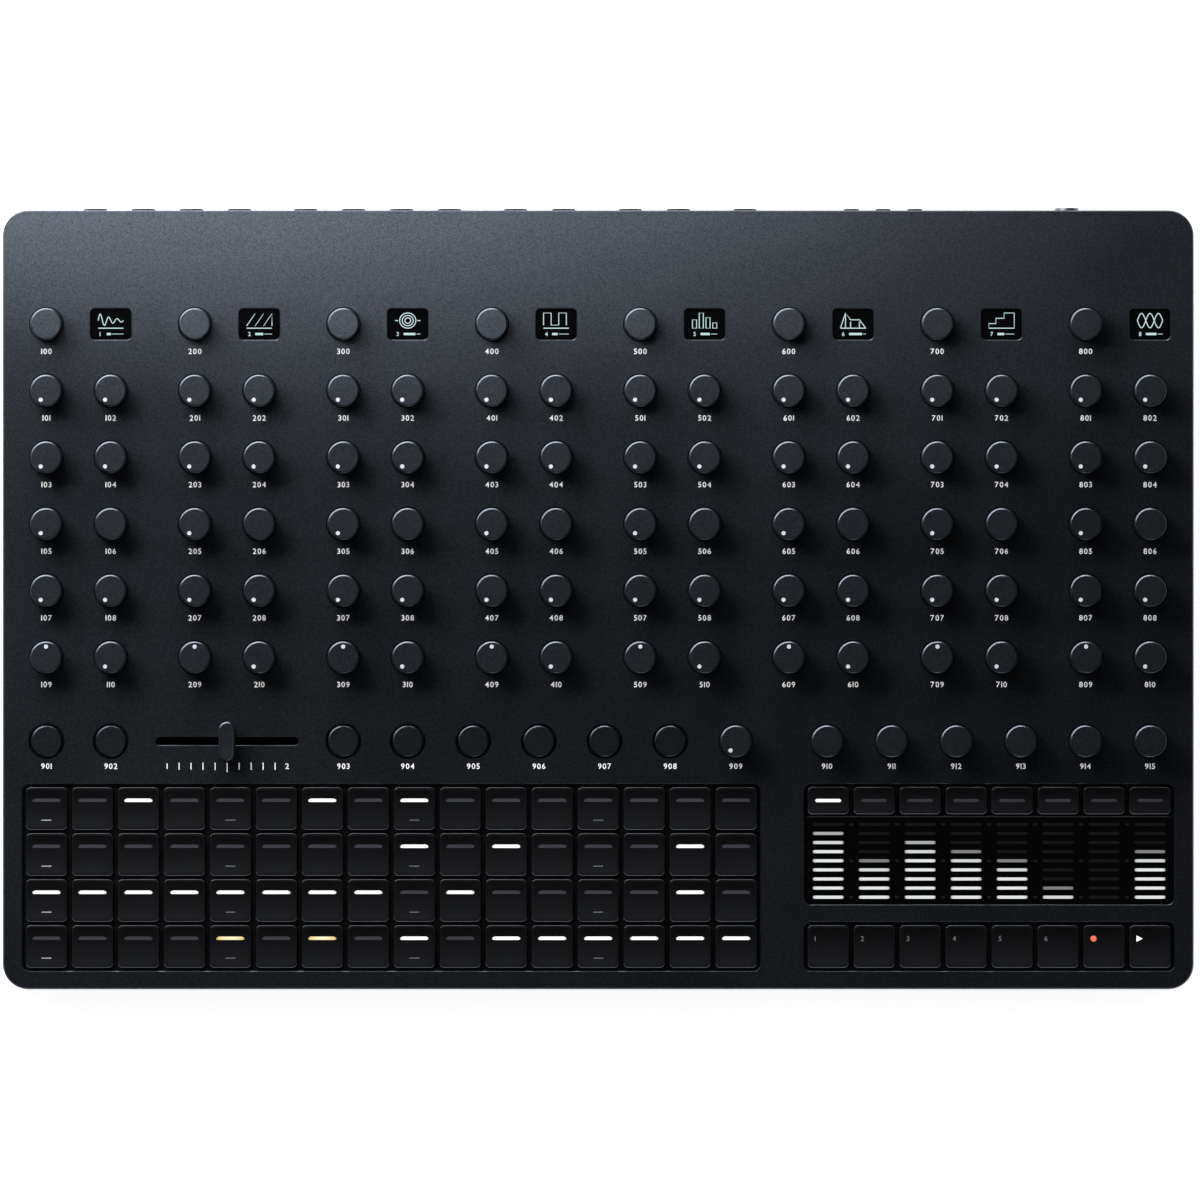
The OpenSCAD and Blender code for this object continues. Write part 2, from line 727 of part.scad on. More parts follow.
// A cap on its shaft. The dot's angle is clockwise from the rear.
module knob(x, y, dot_angle = undef) {
    in_case() translate([x, y, 0]) {
        color("#2b2f34") knob_cap(dot_angle);
        color("#b9bcc0") knob_shaft();
    }
}

module channel_knob(channel, index) {
    k = CHANNEL_KNOBS[index];
    knob(column_x(channel, k[1]), row_y(k[0]), k[2]);
}

// The knobs of the second to the eighth channel, apart from their selectors
module channel_knobs() {
    for (c = [1 : CHANNELS - 1]) for (i = [1 : len(CHANNEL_KNOBS) - 1]) channel_knob(c, i);
}

// ---- Pads and buttons ----

// A pad is a shell with a flange round its foot and a plunger over its dome
module pad_cap(d, has_window, bar_y) {
    difference() {
        union() {
            translate([0, 0, z_pad_foot]) bevelled_slab(pad_w, d, pad_r, pad_h, pad_bevel);
            translate([0, 0, z_pad_foot]) linear_extrude(flange_t)
                rounded_rect(pad_w + 2 * flange_out, d + 2 * flange_out, pad_r);
        }
        translate([0, 0, z_pad_foot - 1]) linear_extrude(1 + pad_h - pad_roof) difference() {
            rounded_rect(pad_w - 2 * pad_wall, d - 2 * pad_wall, pad_r - pad_wall / 2);
            circle(plunger_r);
        }
        if (has_window) translate([0, bar_y, z_pad_top - window_t - window_gap]) linear_extrude(window_t + 1)
            stadium(window_l + 2 * window_gap, window_w + 2 * window_gap);
    }
}

// The clear bar that a pad's light shines through
module light_window(bar_y) {
    translate([0, bar_y, z_pad_top - window_t]) linear_extrude(window_t) stadium(window_l, window_w);
}

module step_pads(row) {
    points = [for (i = [0 : STEP_COLUMNS - 1]) [pad_x(i), pad_row_y(row)]];
    color("#141519") at(points) pad_cap(pad_d, true, window_y);
    color("#d9dde0") at(points) light_window(window_y);
}

module select_pads() {
    points = [for (i = [0 : CHANNELS - 1]) [right_x(i), select_pad_y]];
    color("#141519") at(points) pad_cap(select_d, true, 0);
    color("#d9dde0") at(points) light_window(0);
}

module function_pads() {
    color("#141519") at([for (i = [0 : CHANNELS - 1]) [right_x(i), function_pad_y]]) pad_cap(pad_d, false, 0);
}

module round_buttons() {
    top = z_face + round_proud;
    r = round_d / 2;
    edge = 0.4;
    collar = z_under - flange_play - flange_t;
    roof = top - pad_roof;
    inner_r = r - pad_wall;
    color("#1d2125") at([for (x = ROUND_BUTTONS) [x, lower_row_y]]) rotate_extrude() polygon([
        [0, z_pad_foot], [plunger_r, z_pad_foot], [plunger_r, roof], [inner_r, roof], [inner_r, z_pad_foot],
        [r, z_pad_foot], [r, collar], [r + 1.4, collar], [r + 1.4, collar + flange_t], [r, collar + flange_t],
        [r, top - edge], [r - edge, top], [0, top]
    ]);
}

// The frames under the face plate that the pads run in, and that carry the touch strip
module pad_guides() {
    hole_w = pad_w + 2 * guide_clearance;
    hole_d = pad_d + 2 * guide_clearance;
    color("#0a0a0b") in_case() translate([0, 0, z_under - guide_t]) linear_extrude(guide_t) {
        difference() {
            translate([step_opening_x, step_opening_y])
                square([step_opening_w + 2 * guide_rim, step_opening_d + 2 * guide_rim], center = true);
            for (i = [0 : STEP_COLUMNS - 1]) for (j = [0 : STEP_ROWS - 1])
                translate([pad_x(i), pad_row_y(j)]) rounded_rect(hole_w, hole_d, pad_r);
        }
        difference() {
            translate([right_opening_x, step_opening_y])
                square([right_opening_w + 2 * guide_rim, step_opening_d + 2 * guide_rim], center = true);
            for (i = [0 : CHANNELS - 1]) {
                translate([right_x(i), select_pad_y])
                    rounded_rect(hole_w, select_d + 2 * guide_clearance, pad_r);
                translate([right_x(i), function_pad_y]) rounded_rect(hole_w, hole_d, pad_r);
            }
        }
    }
}

module dome() {
    translate([0, 0, z_board + mat_t]) cylinder(r1 = 4, r2 = 2.6, h = dome_h);
}

// The rubber sheets, with a dome under every pad and button
module switch_mats() {
    color("#5c6064") {
        in_case() translate([0, 0, z_board]) linear_extrude(mat_t) {
            translate([step_opening_x, step_opening_y])
                square([step_opening_w, step_opening_d], center = true);
            translate([right_opening_x, select_pad_y])
                square([right_opening_w, select_d], center = true);
            translate([right_opening_x, function_pad_y])
                square([right_opening_w, function_opening_d], center = true);
            for (x = ROUND_BUTTONS) translate([x, lower_row_y]) circle(5.6);
        }
        at([for (i = [0 : STEP_COLUMNS - 1]) for (j = [0 : STEP_ROWS - 1]) [pad_x(i), pad_row_y(j)]]) dome();
        at([for (i = [0 : CHANNELS - 1]) for (y = [select_pad_y, function_pad_y]) [right_x(i), y]]) dome();
        at([for (x = ROUND_BUTTONS) [x, lower_row_y]]) dome();
    }
}

// ---- Touch strip ----

TOUCH_BARS = [for (i = [0 : CHANNELS - 1]) for (j = [0 : touch_rows - 1])
    [right_x(i), touch_first_y - j * touch_row_pitch]];

module touch_panel() {
    color("#050506") in_case() translate([0, 0, z_under]) difference() {
        translate([right_opening_x, touch_y])
            bevelled_slab(touch_w, touch_d, opening_r - touch_gap, face_t - touch_drop, touch_bevel);
        for (p = TOUCH_BARS) translate([p[0], p[1], -1]) linear_extrude(face_t + 2)
            stadium(touch_bar_l + 2 * window_gap, touch_bar_w + 2 * window_gap);
    }
}

module touch_light_bars() {
    color("#e8ecee") at(TOUCH_BARS) translate([0, 0, z_under]) linear_extrude(face_t - touch_drop)
        stadium(touch_bar_l, touch_bar_w);
}

// ---- Crossfader ----

module fader_lever() {
    top = knob_z + 6;
    carriage_l = 8;
    carriage_w = 6.6;
    carriage_h = 3.4;
    color("#b9bcc0") in_case() translate([fader_x, lower_row_y, z_board]) difference() {
        union() {
            translate([-carriage_l / 2, -carriage_w / 2, 1.5]) cube([carriage_l, carriage_w, carriage_h]);
            translate([-lever_w / 2, -lever_t / 2, 2]) cube([lever_w, lever_t, top - z_board - 2]);
        }
        slide_rods(rod_r + rod_clearance, carriage_l + 2);
    }
}

module fader_cap() {
    fit = 0.05;
    color("#2b2f34") in_case() translate([fader_x, lower_row_y, knob_z]) difference() {
        bevelled_slab(fader_cap_w, fader_cap_d, fader_cap_w / 2 - 0.1, fader_cap_h, 0.9);
        translate([-lever_w / 2 - fit, -lever_t / 2 - fit, -1])
            cube([lever_w + 2 * fit, lever_t + 2 * fit, 7 + fit]);
    }
}

// ---- Each node on its own ----

face_plate();
side_frame();
base_cover();
rear_panel();
rubber_feet();
m3_screws();
screen_lenses();
screen_modules();
touch_panel();
touch_light_bars();
pad_guides();
switch_mats();
pad_board();
knob_board();
main_board();
board_spacers();
ribbon_cables();
potentiometers();
encoders();
fader_track();
phone_jacks();
mini_jacks();
usb_port();
power_switch();
channel_knobs();
for (row = [0 : STEP_ROWS - 1]) step_pads(row);
select_pads();
function_pads();
round_buttons();
fader_lever();
fader_cap();
power_button();
knob(master_x, lower_row_y, low_stop);  // master_volume_knob
for (i = [0 : sequencer_count - 1])
    knob(sequencer_x(i), lower_row_y);
for (i = [0 : len(CHANNEL_KNOBS) - 1])
    channel_knob(0, i);
for (c = [1 : CHANNELS - 1])
    channel_knob(c, 0);
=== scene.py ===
"""Looks of a desktop drum machine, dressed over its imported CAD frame.

Every length in this file is in millimetres until a mesh is made, where MM turns it into metres. Shapes are
arrays of points worked out with numpy: a profile turned round an axis, a profile carried round a closed
outline, or a strip along a path. Places come from the frame's own boxes and joints.
"""
import json
import logging
import math
from collections.abc import Callable, Sequence
from dataclasses import dataclass, field, replace
from enum import Enum
from functools import cache

import bpy
import numpy as np
from mathutils import Matrix, Vector


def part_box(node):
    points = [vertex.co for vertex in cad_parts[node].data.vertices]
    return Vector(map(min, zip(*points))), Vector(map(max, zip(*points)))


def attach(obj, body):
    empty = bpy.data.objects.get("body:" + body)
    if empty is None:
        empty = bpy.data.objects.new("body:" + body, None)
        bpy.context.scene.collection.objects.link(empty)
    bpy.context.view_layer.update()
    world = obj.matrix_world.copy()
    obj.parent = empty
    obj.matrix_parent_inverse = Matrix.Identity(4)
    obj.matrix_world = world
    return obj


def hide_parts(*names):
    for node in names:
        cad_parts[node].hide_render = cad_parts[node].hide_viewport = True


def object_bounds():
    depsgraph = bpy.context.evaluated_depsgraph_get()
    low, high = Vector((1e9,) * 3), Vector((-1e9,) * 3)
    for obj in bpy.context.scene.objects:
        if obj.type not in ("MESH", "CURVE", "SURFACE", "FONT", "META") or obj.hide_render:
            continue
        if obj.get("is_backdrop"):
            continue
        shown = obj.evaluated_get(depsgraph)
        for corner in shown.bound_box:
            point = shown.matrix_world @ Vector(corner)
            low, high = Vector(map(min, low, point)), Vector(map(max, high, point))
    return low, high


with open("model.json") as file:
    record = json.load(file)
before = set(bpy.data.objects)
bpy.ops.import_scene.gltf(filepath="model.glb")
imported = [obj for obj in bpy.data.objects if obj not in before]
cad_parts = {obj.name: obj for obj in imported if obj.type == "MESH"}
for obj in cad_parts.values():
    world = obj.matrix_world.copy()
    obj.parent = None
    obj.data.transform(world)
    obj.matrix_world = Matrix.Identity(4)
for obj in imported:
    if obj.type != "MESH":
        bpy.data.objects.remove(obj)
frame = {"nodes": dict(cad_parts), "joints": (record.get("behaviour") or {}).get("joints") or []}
cad_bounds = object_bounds()

logging.basicConfig(level=logging.INFO, format="%(levelname)s %(message)s")
log = logging.getLogger("drum_machine")

MM = 0.001
CASE = "case"
Colour = tuple[float, float, float]
Profile = list[tuple[float, float]]


def srgb(red: float, green: float, blue: float) -> Colour:
    """Turns a colour of 0 to 255 as a screen shows it into linear light.

    Args:
        red: the red part.
        green: the green part.
        blue: the blue part.

    Returns:
        The three linear parts, each from 0 to 1.
    """
    def linear(value: float) -> float:
        """Undoes the screen's curve for one part."""
        share = value / 255
        return share / 12.92 if share <= 0.04045 else ((share + 0.055) / 1.055) ** 2.4

    return linear(red), linear(green), linear(blue)


# ---------------------------------------------------------------------------------------------------------
# Shapes as arrays
# ---------------------------------------------------------------------------------------------------------


@dataclass
class Shape:
    """A closed surface: its points, its faces of four and three points, and a light colour per point."""

    points: np.ndarray
    quads: np.ndarray
    tris: np.ndarray
    glow: np.ndarray | None = None

    def outward(self) -> "Shape":
        """Turns the faces outwards: the signed volume, the sum of each face's tetrahedron, is positive.

        Returns:
            The shape itself.
        """
        corners = np.concatenate([self.quads[:, [0, 1, 2]], self.quads[:, [0, 2, 3]], self.tris])
        a, b, c = (self.points[corners[:, i]] for i in range(3))
        if np.einsum("ij,ij->", a - self.points.mean(0), np.cross(b - a, c - a)) < 0:
            self.quads, self.tris = self.quads[:, ::-1], self.tris[:, ::-1]
        return self

    def moved(self, x: float, y: float, z: float = 0.0) -> "Shape":
        """A copy that is moved by the given millimetres."""
        return Shape(self.points + np.array([x, y, z]), self.quads, self.tris, self.glow)

    def facing_rear(self) -> "Shape":
        """A copy whose +Z points to the rear, +Y: x, y, z become x, -z and y, and then back to front."""
        x, y, z = self.points.T
        return Shape(np.column_stack([x, z, -y]), self.quads, self.tris, self.glow)

    def lit(self, colour: Colour) -> "Shape":
        """A copy whose points all carry one light colour."""
        return Shape(self.points, self.quads, self.tris, np.tile(np.array(colour), (len(self.points), 1)))

    def repeated(
        self, offsets: np.ndarray, glows: np.ndarray | None = None, falloff: np.ndarray | None = None
    ) -> "Shape":
        """Copies of the shape at each offset, as one shape.

        Args:
            offsets: one row of x, y and z for each copy.
            glows: one light colour for each copy, or None.
            falloff: the share of its copy's light that each point has, or None for all of it.

        Returns:
            The joined copies.
        """
        count, size = len(offsets), len(self.points)
        step = (np.arange(count) * size)[:, None, None]
        points = (self.points[None] + offsets[:, None, :]).reshape(-1, 3)
        share = np.ones(size) if falloff is None else falloff
        glow = None if glows is None else (glows[:, None, :] * share[None, :, None]).reshape(-1, 3)
        quads, tris = (self.quads[None] + step).reshape(-1, 4), (self.tris[None] + step).reshape(-1, 3)
        return Shape(points, quads, tris, glow)


def joined(shapes: Sequence[Shape]) -> Shape:
    """Several shapes as one, with their faces numbered on.

    Args:
        shapes: the shapes. If any of them has a light colour, the others get none of it.

    Returns:
        The joined shape.
    """
    starts = np.cumsum([0] + [len(s.points) for s in shapes])
    glow = None
    if any(s.glow is not None for s in shapes):
        glow = np.concatenate([np.zeros_like(s.points) if s.glow is None else s.glow for s in shapes])
    return Shape(
        np.concatenate([s.points for s in shapes]),
        np.concatenate([s.quads + at for s, at in zip(shapes, starts)]),
        np.concatenate([s.tris + at for s, at in zip(shapes, starts)]),
        glow,
    )


def ring_stack(rings: np.ndarray, low_pole: np.ndarray, high_pole: np.ndarray) -> Shape:
    """Closes a stack of rings into a solid: quads between neighbouring rings, and a fan at either end.

    Args:
        rings: points as rings by places round the ring by x, y and z.
        low_pole: the point that the first ring's fan meets in.
        high_pole: the point that the last ring's fan meets in.

    Returns:
        The closed shape, with its faces outwards.
    """
    count, around = rings.shape[:2]
    index = np.arange(count * around).reshape(count, around)
    after = np.roll(index, -1, axis=1)
    quads = np.stack([index[:-1], after[:-1], after[1:], index[1:]], axis=-1).reshape(-1, 4)
    low, high = count * around, count * around + 1
    low_fan = np.stack([after[0], index[0], np.full(around, low)], axis=-1)
    high_fan = np.stack([index[-1], after[-1], np.full(around, high)], axis=-1)
    points = np.concatenate([rings.reshape(-1, 3), [low_pole], [high_pole]])
    return Shape(points, quads, np.concatenate([low_fan, high_fan])).outward()


def revolved(profile: Profile, segments: int = 64) -> Shape:
    """A profile of radius and height turned round Z: x is r times the cosine, y is r times the sine.

    Args:
        profile: radius and height of each point, from the lower pole to the upper one, poles left out.
        segments: places round the circle.

    Returns:
        The closed solid of revolution.
    """
    radius, height = np.array(profile, float).T
    angle = np.linspace(0, 2 * np.pi, segments, endpoint=False)
    terms = ((radius, np.cos(angle)), (radius, np.sin(angle)), (height, np.ones(segments)))
    rings = np.stack([np.outer(*pair) for pair in terms], axis=-1)
    return ring_stack(rings, np.array([0, 0, height[0]]), np.array([0, 0, height[-1]]))


def arc(centre: tuple[float, float], radius: float, start: float, end: float, steps: int) -> Profile:
    """Points of a circular arc from one angle to another, in degrees, both ends included."""
    angles = np.radians(np.linspace(start, end, steps))
    return list(zip(centre[0] + radius * np.cos(angles), centre[1] + radius * np.sin(angles)))


def cut_rim(radius: float, top: float, edge: float, width: float, slope: float = 33.0) -> Profile:
    """The upper edge of a cut part: a round edge that runs on into a sloping rim, and then the level top.

    Args:
        radius: where the side wall stands.
        top: height of the level top.
        edge: radius of the round edge.
        width: how wide the sloping rim is.
        slope: its slope, in degrees.

    Returns:
        Radius and height of each point, from the wall to the top. The last two are level, so that the top
        is shaded flat.
    """
    tilt, roll = math.radians(slope), 0.08
    edge_r, edge_z = radius - edge, top - width * math.tan(tilt) - edge * math.cos(tilt)
    flat = edge_r + edge * math.sin(tilt) - width
    points = arc((edge_r, edge_z), edge, 0, 90 - slope, 6)
    points += [(flat + roll, top - roll * math.tan(tilt)), (flat, top - roll * 0.12)]
    return [*points, (flat - roll, top), (flat - 2 * roll, top)]


def round_outline(
    width: float, depth: float, corner: float, steps: int = 7, between: int = 0
) -> tuple[np.ndarray, np.ndarray]:
    """The outline of a rectangle with round corners: a quarter circle round each corner's centre.

    Args:
        width: its size along X.
        depth: its size along Y.
        corner: the corner radius.
        steps: points on each corner's arc.
        between: points that are added along each straight side.

    Returns:
        The outline's points, and the outward direction at each.
    """
    quarter = np.radians(np.linspace(0, 90, steps))
    angle = (quarter[None] + np.radians([0, 90, 180, 270])[:, None]).ravel()
    normals = np.column_stack([np.cos(angle), np.sin(angle)])
    signs = np.repeat([[1, 1], [-1, 1], [-1, -1], [1, -1]], steps, axis=0)
    centres = signs * np.array([width / 2 - corner, depth / 2 - corner])
    points = centres + corner * normals
    if between:
        last = np.arange(steps - 1, 4 * steps, steps)
        following = (last + 1) % (4 * steps)
        share = (np.arange(between) + 1)[None, :, None] / (between + 1)
        side = points[last][:, None] * (1 - share) + points[following][:, None] * share
        points = np.concatenate([points.reshape(4, steps, 2), side], axis=1).reshape(-1, 2)
        facing = np.repeat(normals[last][:, None], between, axis=1)
        normals = np.concatenate([normals.reshape(4, steps, 2), facing], axis=1).reshape(-1, 2)
    return points, normals


def carried_round(
    outline: tuple[np.ndarray, np.ndarray],
    profile: Profile,
    relief: Callable[[np.ndarray, np.ndarray], np.ndarray] | None = None,
    inner_rings: int = 0,
    bent: int = 1,
) -> Shape:
    """A profile of inset and height carried round an outline: a ring is the outline less inset times normal.

    Args:
        outline: points and outward directions, as round_outline gives them.
        profile: how far each ring is set in, and its height, from the bottom up.
        relief: height to add over the top, as a function of x and y, or None.
        inner_rings: rings between the top's edge and its middle, which the relief bends.
        bent: how many of the profile's own last rings the relief bends too.

    Returns:
        The closed solid.
    """
    points, normals = outline
    inset, height = np.array(profile, float).T
    flat = points[None] - inset[:, None, None] * normals[None]
    heights = np.repeat(height[:, None], len(points), axis=1)
    if inner_rings:
        share = 1 - np.arange(1, inner_rings + 1) / (inner_rings + 1)
        inner = flat[-1][None] * share[:, None, None]
        flat = np.concatenate([flat, inner])
        heights = np.concatenate([heights, np.full(inner.shape[:2], height[-1])])
    top = np.array([0, 0, height[-1]], float)
    if relief is not None:
        edge = len(profile) - bent
        heights[edge:] += relief(flat[edge:, :, 0], flat[edge:, :, 1])
        top[2] += float(relief(np.zeros(1), np.zeros(1))[0])
    rings = np.concatenate([flat, heights[..., None]], axis=-1)
    return ring_stack(rings, np.array([0, 0, height[0]]), top)


def strip(path: np.ndarray, width: float, bottom: float, top: float, closed: bool = False) -> Shape:
    """A flat strip along a path: at each point the path plus and minus half the width times its normal.

    Args:
        path: points of x and y.
        width: the strip's width.
        bottom: height of its underside.
        top: height of its upper side.
        closed: whether the last point joins the first.

    Returns:
        A closed shape of four edges along the path.
    """
    if closed:
        before, after = np.roll(path, 1, axis=0), np.roll(path, -1, axis=0)
    else:
        before, after = np.vstack([path[:1], path[:-1]]), np.vstack([path[1:], path[-1:]])
    along = after - before
    along /= np.maximum(np.linalg.norm(along, axis=1, keepdims=True), 1e-9)
    side = np.column_stack([-along[:, 1], along[:, 0]]) * width / 2
    left, right = path + side, path - side
    edges = [(left, bottom), (right, bottom), (right, top), (left, top)]
    around = np.stack([np.column_stack([p, np.full(len(path), z)]) for p, z in edges], axis=1)
    count = len(path)
    index = np.arange(count * 4).reshape(count, 4)
    ahead = np.roll(index, -1, axis=0) if closed else index[1:]
    here = index if closed else index[:-1]
    quads = np.stack([here, np.roll(here, -1, 1), np.roll(ahead, -1, 1), ahead], axis=-1).reshape(-1, 4)
    if not closed:
        quads = np.concatenate([quads, [index[0][::-1]], [index[-1]]])
    return Shape(around.reshape(-1, 3), quads, np.zeros((0, 3), int)).outward()


def bars(width: float, depth: float, bottom: float, top: float) -> Shape:
    """A plain bar with its four upright edges, centred on the origin."""
    path = np.array([[-width / 2, 0.0], [width / 2, 0.0]])
    return strip(path, depth, bottom, top)


def light_bar(
    length: float, width: float, bottom: float, top: float, soft: float, stations: int = 13
) -> tuple[Shape, np.ndarray]:
    """A bar with round ends that is lit from behind, as cross-sections along X, closest at its ends.

    A section's half width is the root of the end's radius squared less the square of its way into the round
    end. The light at a point is one less three quarters of the square of its way into the soft stretch.

    Args:
        length: the bar's length along X.
        width: its width along Y.
        bottom: height of its underside.
        top: height of its upper side.
        soft: the stretch at either end over which the light falls.
        stations: cross-sections, with both ends.

    Returns:
        The closed bar, and the share of the full light at each of its points.
    """
    radius = width / 2
    along = -np.cos(np.linspace(0, np.pi, stations)[1:-1]) * length / 2
    into_end = np.maximum(np.abs(along) - (length / 2 - radius), 0)
    half = np.sqrt(radius**2 - into_end**2)
    section = [(-half, bottom), (half, bottom), (half, top), (-half, top)]
    rings = np.stack([np.column_stack([along, y, np.full_like(along, z)]) for y, z in section], axis=1)
    middle_z = (bottom + top) / 2
    bar = ring_stack(rings, np.array([-length / 2, 0, middle_z]), np.array([length / 2, 0, middle_z]))
    into_soft = np.clip((np.abs(bar.points[:, 0]) - (length / 2 - soft)) / soft, 0, 1)
    return bar, 1 - 0.75 * into_soft**2


# ---------------------------------------------------------------------------------------------------------
# Shader node groups and finishes
# ---------------------------------------------------------------------------------------------------------


def new_group(name: str, inputs: dict[str, float | Colour], outputs: dict[str, str]) -> bpy.types.NodeTree:
    """An empty shader node group with named sockets.

    Args:
        name: the group's name.
        inputs: each input's name and default; a number makes a float socket and three make a colour.
        outputs: each output's name and socket type.

    Returns:
        The node tree, with its group input and output nodes in place.
    """
    tree = bpy.data.node_groups.new(name, "ShaderNodeTree")
    for key, value in inputs.items():
        kind = "NodeSocketFloat" if isinstance(value, (int, float)) else "NodeSocketColor"
        socket = tree.interface.new_socket(key, in_out="INPUT", socket_type=kind)
        socket.default_value = value if isinstance(value, (int, float)) else (*value, 1.0)
    for key, kind in outputs.items():
        tree.interface.new_socket(key, in_out="OUTPUT", socket_type=kind)
    tree.nodes.new("NodeGroupInput").name = "in"
    tree.nodes.new("NodeGroupOutput").name = "out"
    return tree


def node(
    tree: bpy.types.NodeTree, kind: str, values: dict[str, float] | None = None, **settings: object
) -> bpy.types.Node:
    """A new node with its settings and socket values.

    Args:
        tree: where it goes.
        kind: the node's type name.
        values: each socket's name and default value.
        settings: the node's own properties.

    Returns:
        The node.
    """
    made = tree.nodes.new(kind)
    for key, value in settings.items():
        setattr(made, key, value)
    for key, value in (values or {}).items():
        made.inputs[key].default_value = value
    return made


def maths(
    tree: bpy.types.NodeTree, operation: str, *terms: float | bpy.types.NodeSocket
) -> bpy.types.NodeSocket:
    """One Math node.

    Args:
        tree: where it goes.
        operation: what it works out.
        terms: its numbers, or the sockets that they come from.

    Returns:
        The socket that holds the result.
    """
    made = node(tree, "ShaderNodeMath", operation=operation)
    for slot, term in enumerate(terms):
        if isinstance(term, (int, float)):
            made.inputs[slot].default_value = term
        else:
            tree.links.new(term, made.inputs[slot])
    return made.outputs[0]


@cache
def grain_group() -> bpy.types.NodeTree:
    """Fine grain of a powder coat or a spark-eroded moulding.

    A noise at the grain's own size gives a height. That and one three times as coarse give a speckle mask.

    Returns:
        The group, built once.
    """
    tree = new_group(
        "fine_grain",
        {"Grains per metre": 4000.0, "Coarse share": 0.15},
        {"Height": "NodeSocketFloat", "Speckle": "NodeSocketFloat"},
    )
    nodes, links = tree.nodes, tree.links
    place = node(tree, "ShaderNodeTexCoord")
    fine = node(tree, "ShaderNodeTexNoise", {"Detail": 1.0, "Roughness": 0.5})
    coarse = node(tree, "ShaderNodeTexNoise", {"Detail": 1.0, "Roughness": 0.5})
    links.new(place.outputs["Object"], fine.inputs["Vector"])
    links.new(place.outputs["Object"], coarse.inputs["Vector"])
    links.new(nodes["in"].outputs["Grains per metre"], fine.inputs["Scale"])
    links.new(maths(tree, "DIVIDE", nodes["in"].outputs["Grains per metre"], 3.0), coarse.inputs["Scale"])
    share = nodes["in"].outputs["Coarse share"]
    small = maths(tree, "MULTIPLY", fine.outputs["Fac"], maths(tree, "SUBTRACT", 1.0, share))
    both = maths(tree, "MULTIPLY_ADD", coarse.outputs["Fac"], share, small)
    links.new(fine.outputs["Fac"], nodes["out"].inputs["Height"])
    speckle = node(tree, "ShaderNodeMapRange", {"From Min": 0.3, "From Max": 0.7})
    links.new(both, speckle.inputs["Value"])
    links.new(speckle.outputs["Result"], nodes["out"].inputs["Speckle"])
    return tree


@cache
def handling_group() -> bpy.types.NodeTree:
    """Slow unevenness of a handled surface, such as skin oil and dust: a soft noise squeezed to a mask.

    Returns:
        The group, built once.
    """
    tree = new_group("handling", {"Patches per metre": 18.0, "Cover": 0.5}, {"Mask": "NodeSocketFloat"})
    nodes, links = tree.nodes, tree.links
    place = node(tree, "ShaderNodeTexCoord")
    noise = node(tree, "ShaderNodeTexNoise", {"Detail": 5.0, "Roughness": 0.55})
    links.new(place.outputs["Object"], noise.inputs["Vector"])
    links.new(nodes["in"].outputs["Patches per metre"], noise.inputs["Scale"])
    low = maths(tree, "SUBTRACT", 0.75, maths(tree, "MULTIPLY", nodes["in"].outputs["Cover"], 0.5))
    mask = node(tree, "ShaderNodeMapRange", {"To Min": 0.0, "To Max": 1.0})
    links.new(noise.outputs["Fac"], mask.inputs["Value"])
    links.new(low, mask.inputs["From Min"])
    links.new(maths(tree, "ADD", low, 0.25), mask.inputs["From Max"])
    links.new(mask.outputs["Result"], nodes["out"].inputs["Mask"])
    return tree


@cache
def worked_edge_group() -> bpy.types.NodeTree:
    """Where a part's edges are cut or rolled: one on slopes, by how far the surface's own normal leans over.

    A second value holds only the slopes that face the rear or the front, each times its own gain; the coating
    paints a highlight with it on those edges. A third holds the slight lean to the rear of the surface
    between the edges; the coating paints shade with it across a hollow top.

    Returns:
        The group, built once.
    """
    inputs = {"Least lean": 0.97, "Full lean": 0.94, "Rear gain": 1.6, "Front gain": 1.6}
    outputs = dict.fromkeys(("Mask", "Painted highlight edges", "Painted shade lean"), "NodeSocketFloat")
    tree = new_group("worked_edges_and_painted_light", inputs, outputs)
    nodes, links = tree.nodes, tree.links
    place = node(tree, "ShaderNodeTexCoord")
    split = node(tree, "ShaderNodeSeparateXYZ")
    links.new(place.outputs["Normal"], split.inputs["Vector"])
    mask = node(tree, "ShaderNodeMapRange", {"To Min": 0.0, "To Max": 1.0})
    links.new(maths(tree, "ABSOLUTE", split.outputs["Z"]), mask.inputs["Value"])
    links.new(nodes["in"].outputs["Least lean"], mask.inputs["From Min"])
    links.new(nodes["in"].outputs["Full lean"], mask.inputs["From Max"])
    links.new(mask.outputs["Result"], nodes["out"].inputs["Mask"])
    rear = maths(tree, "MULTIPLY", split.outputs["Y"], nodes["in"].outputs["Rear gain"])
    forward = maths(tree, "MULTIPLY", split.outputs["Y"], -1.0)
    front = maths(tree, "MULTIPLY", forward, nodes["in"].outputs["Front gain"])
    both = maths(tree, "MULTIPLY", maths(tree, "MAXIMUM", rear, front), mask.outputs["Result"])
    links.new(both, nodes["out"].inputs["Painted highlight edges"])
    flat = maths(tree, "SUBTRACT", 1.0, mask.outputs["Result"])
    links.new(maths(tree, "MULTIPLY", flat, split.outputs["Y"]), nodes["out"].inputs["Painted shade lean"])
    return tree


def placed(tree: bpy.types.NodeTree, group: bpy.types.NodeTree, **values: float) -> bpy.types.Node:
    """A group node with its inputs set.

    Args:
        tree: where it goes.
        group: the shared group.
        values: each input's name, with underscores for spaces, and its value.

    Returns:
        The node.
    """
    made = node(tree, "ShaderNodeGroup", node_tree=group)
    for key, value in values.items():
        made.inputs[key.replace("_", " ")].default_value = value
    return made


def blank_material(name: str) -> tuple[bpy.types.Material, bpy.types.NodeTree, bpy.types.Node]:
    """A new material that is still plain.

    Args:
        name: the material's name.

    Returns:
        The material, its node tree and its Principled shader.
    """
    material = bpy.data.materials.new(name)
    material.use_nodes = True
    return material, material.node_tree, material.node_tree.nodes["Principled BSDF"]


